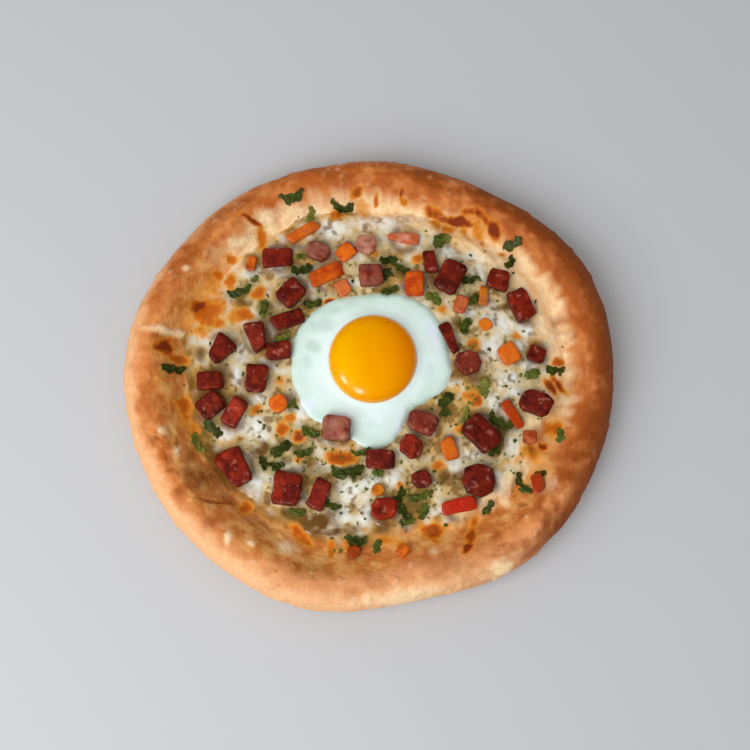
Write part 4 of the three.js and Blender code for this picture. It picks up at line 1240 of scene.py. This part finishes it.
def sheetFaces(count, across, down):
    # Upper face, lower face turned over, and a strip of quads round the edge
    index = np.arange(2 * across * down).reshape(2, across, down)
    up = np.stack([index[0, :-1, :-1], index[0, 1:, :-1], index[0, 1:, 1:], index[0, :-1, 1:]], axis=-1)
    low = np.stack([index[1, :-1, :-1], index[1, :-1, 1:], index[1, 1:, 1:], index[1, 1:, :-1]], axis=-1)
    edge = np.concatenate([index[0, :-1, 0], index[0, -1, :-1], index[0, :0:-1, -1], index[0, 0, :0:-1]])
    after = np.roll(edge, -1)
    below = across * down
    wall = np.stack([edge, edge + below, after + below, after], axis=-1)
    quads = np.concatenate([up.reshape(-1, 4), low.reshape(-1, 4), wall])
    steps = np.arange(count)[:, None, None] * 2 * across * down
    return (quads[None] + steps).reshape(-1, 4)


fleckAreas = [  # column, row, spread, count: tiny cut bits of herb, thickest beside the larger leaves
    (370, 385, 110, 170), (470, 300, 45, 50), (500, 400, 40, 40), (412, 505, 26, 60),
    (300, 440, 34, 50), (497, 440, 22, 40), (330, 470, 30, 20), (280, 330, 30, 25), (440, 390, 24, 30),
    (350, 520, 40, 25),
]


def fleckPlaces(draw):
    # Drawn about each area's middle, and kept where they fall on the cheese, off the egg
    places = []
    for column, row, spread, count in fleckAreas:
        cx, cy = placeOf(column, row, patchLevel)
        x, y = np.array([cx, cy])[:, None] + draw.normal(0, spread * picture["pixelSize"], (2, count))
        keep = beyondWhite(x, y) > -1
        keep &= np.hypot(x, y) < cheeseOuter(bearingOf(x, y)) - 2
        long = draw.uniform(0.7, 2.2, count)
        rows = np.stack([x, y, long, long * draw.uniform(0.35, 0.8, count), draw.uniform(0, 6.3, count),
                         draw.uniform(0.1, 1.3, count)], axis=1)
        places.extend(rows[keep])
    return places


def makeHerbs(name, places, draw, across, down):
    # All the sheets of one kind in one mesh
    points, tints = leafSheets(places, draw, across, down)
    quads = sheetFaces(len(places), across, down)
    noFans = np.zeros((0, 3), int)
    newPiece(name, points.reshape(-1, 3), quads, noFans, herbSkin, ["cheese"],
             tints.reshape(-1, 3))


herbSkin = makeMaterial("tornHerb", herbLook)
herbDraw = np.random.default_rng(8)
makeHerbs("herbLeaves", leafletPlaces(herbDraw), herbDraw, 9, 7)
makeHerbs("herbFlecks", fleckPlaces(herbDraw), herbDraw, 4, 3)
print("herbs made")

# Setting: floor, lights and camera
setting = {
    "floor": (0.77, 0.78, 0.80),
    "floorHalf": 12.0,
    "sky": (1.0, 0.99, 0.97),
    "skyStrength": 0.55,
    "keyBearing": 218,
    "keyElevation": 50,
    "keyDistance": 0.9,
    "keySize": 0.75,
    "keyPower": 6.0,
    "panes": [(210, 21.6), (244, 24.5)],  # bearing, elevation
    "paneSize": (0.24, 0.28),
    "panePower": 4.0,
    "nearAndFar": (0.05, 60),  # range that the camera shows
}


def flatMaterial(name, colour, roughness):
    # One colour without any shine
    material = bpy.data.materials.new(name)
    material.use_nodes = True
    setInputs(material.node_tree.nodes["Principled BSDF"], {
        "Base Color": (*linear(colour), 1), "Roughness": roughness, "Specular IOR Level": 0})
    return material


def makeFloor():
    # One square about the origin
    mesh = bpy.data.meshes.new("floor")
    half = setting["floorHalf"]
    corners = [(-half, -half, 0), (half, -half, 0), (half, half, 0), (-half, half, 0)]
    mesh.from_pydata(corners, [], [(0, 1, 2, 3)])
    mesh.materials.append(flatMaterial("paleFloor", setting["floor"], 0.6))
    floor = bpy.data.objects.new("floor", mesh)
    bpy.context.scene.collection.objects.link(floor)


def aimAt(thing, target):
    # Turns the thing's own -Z to the target
    thing.rotation_euler = (Vector(target) - thing.location).to_track_quat("-Z", "Y").to_euler()


def areaLight(name, bearing, elevation, distance, size, power, shows):
    # Placed by bearing, elevation and distance; one that shows is seen in shiny places and lights nothing
    light = bpy.data.lights.new(name, "AREA")
    light.shape = "RECTANGLE"
    light.size, light.size_y = size
    light.energy = power
    lamp = bpy.data.objects.new(name, light)
    a, e = math.radians(bearing), math.radians(elevation)
    lamp.location = (distance * math.cos(a) * math.cos(e), distance * math.sin(a) * math.cos(e),
                     distance * math.sin(e))
    bpy.context.scene.collection.objects.link(lamp)
    aimAt(lamp, (0, 0, 0.01))
    lamp.visible_glossy, lamp.visible_diffuse = shows, not shows


def makeLights():
    # A large soft key light, the window panes that shiny places show, and an even sky
    areaLight("keyLight", setting["keyBearing"], setting["keyElevation"], setting["keyDistance"],
              (setting["keySize"], setting["keySize"]), setting["keyPower"], False)
    for bearing, elevation in setting["panes"]:
        areaLight(f"windowPane{bearing}", bearing, elevation, setting["keyDistance"],
                  setting["paneSize"], setting["panePower"], True)
    world = bpy.data.worlds.new("paleSky")
    world.use_nodes = True
    setInputs(world.node_tree.nodes["Background"], {
        "Color": (*linear(setting["sky"]), 1), "Strength": setting["skyStrength"]})
    world.cycles_visibility.glossy = False  # only the window shows in wet places
    bpy.context.scene.world = world


def makeCamera():
    # Looks down at the photograph's angle; its focal length spans the picture's width at the aim
    camera = bpy.data.cameras.new("camera")
    camera.sensor_width = 36
    viewWidth = picture["width"] * picture["pixelSize"]
    camera.lens = camera.sensor_width * picture["distance"] / viewWidth
    camera.clip_start, camera.clip_end = setting["nearAndFar"]
    tilt = math.radians(picture["elevation"])
    target = (Vector(picture["aim"]) - Vector((*breadMiddle, 0))) * 0.001
    back = Vector((0, -math.cos(tilt), math.sin(tilt))) * picture["distance"] * 0.001
    viewer = bpy.data.objects.new("camera", camera)
    viewer.location = target + back
    bpy.context.scene.collection.objects.link(viewer)
    aimAt(viewer, target)
    bpy.context.scene.camera = viewer


makeFloor()
makeLights()
makeCamera()
bpy.context.scene.view_settings.view_transform = "Standard"
print("setting made")
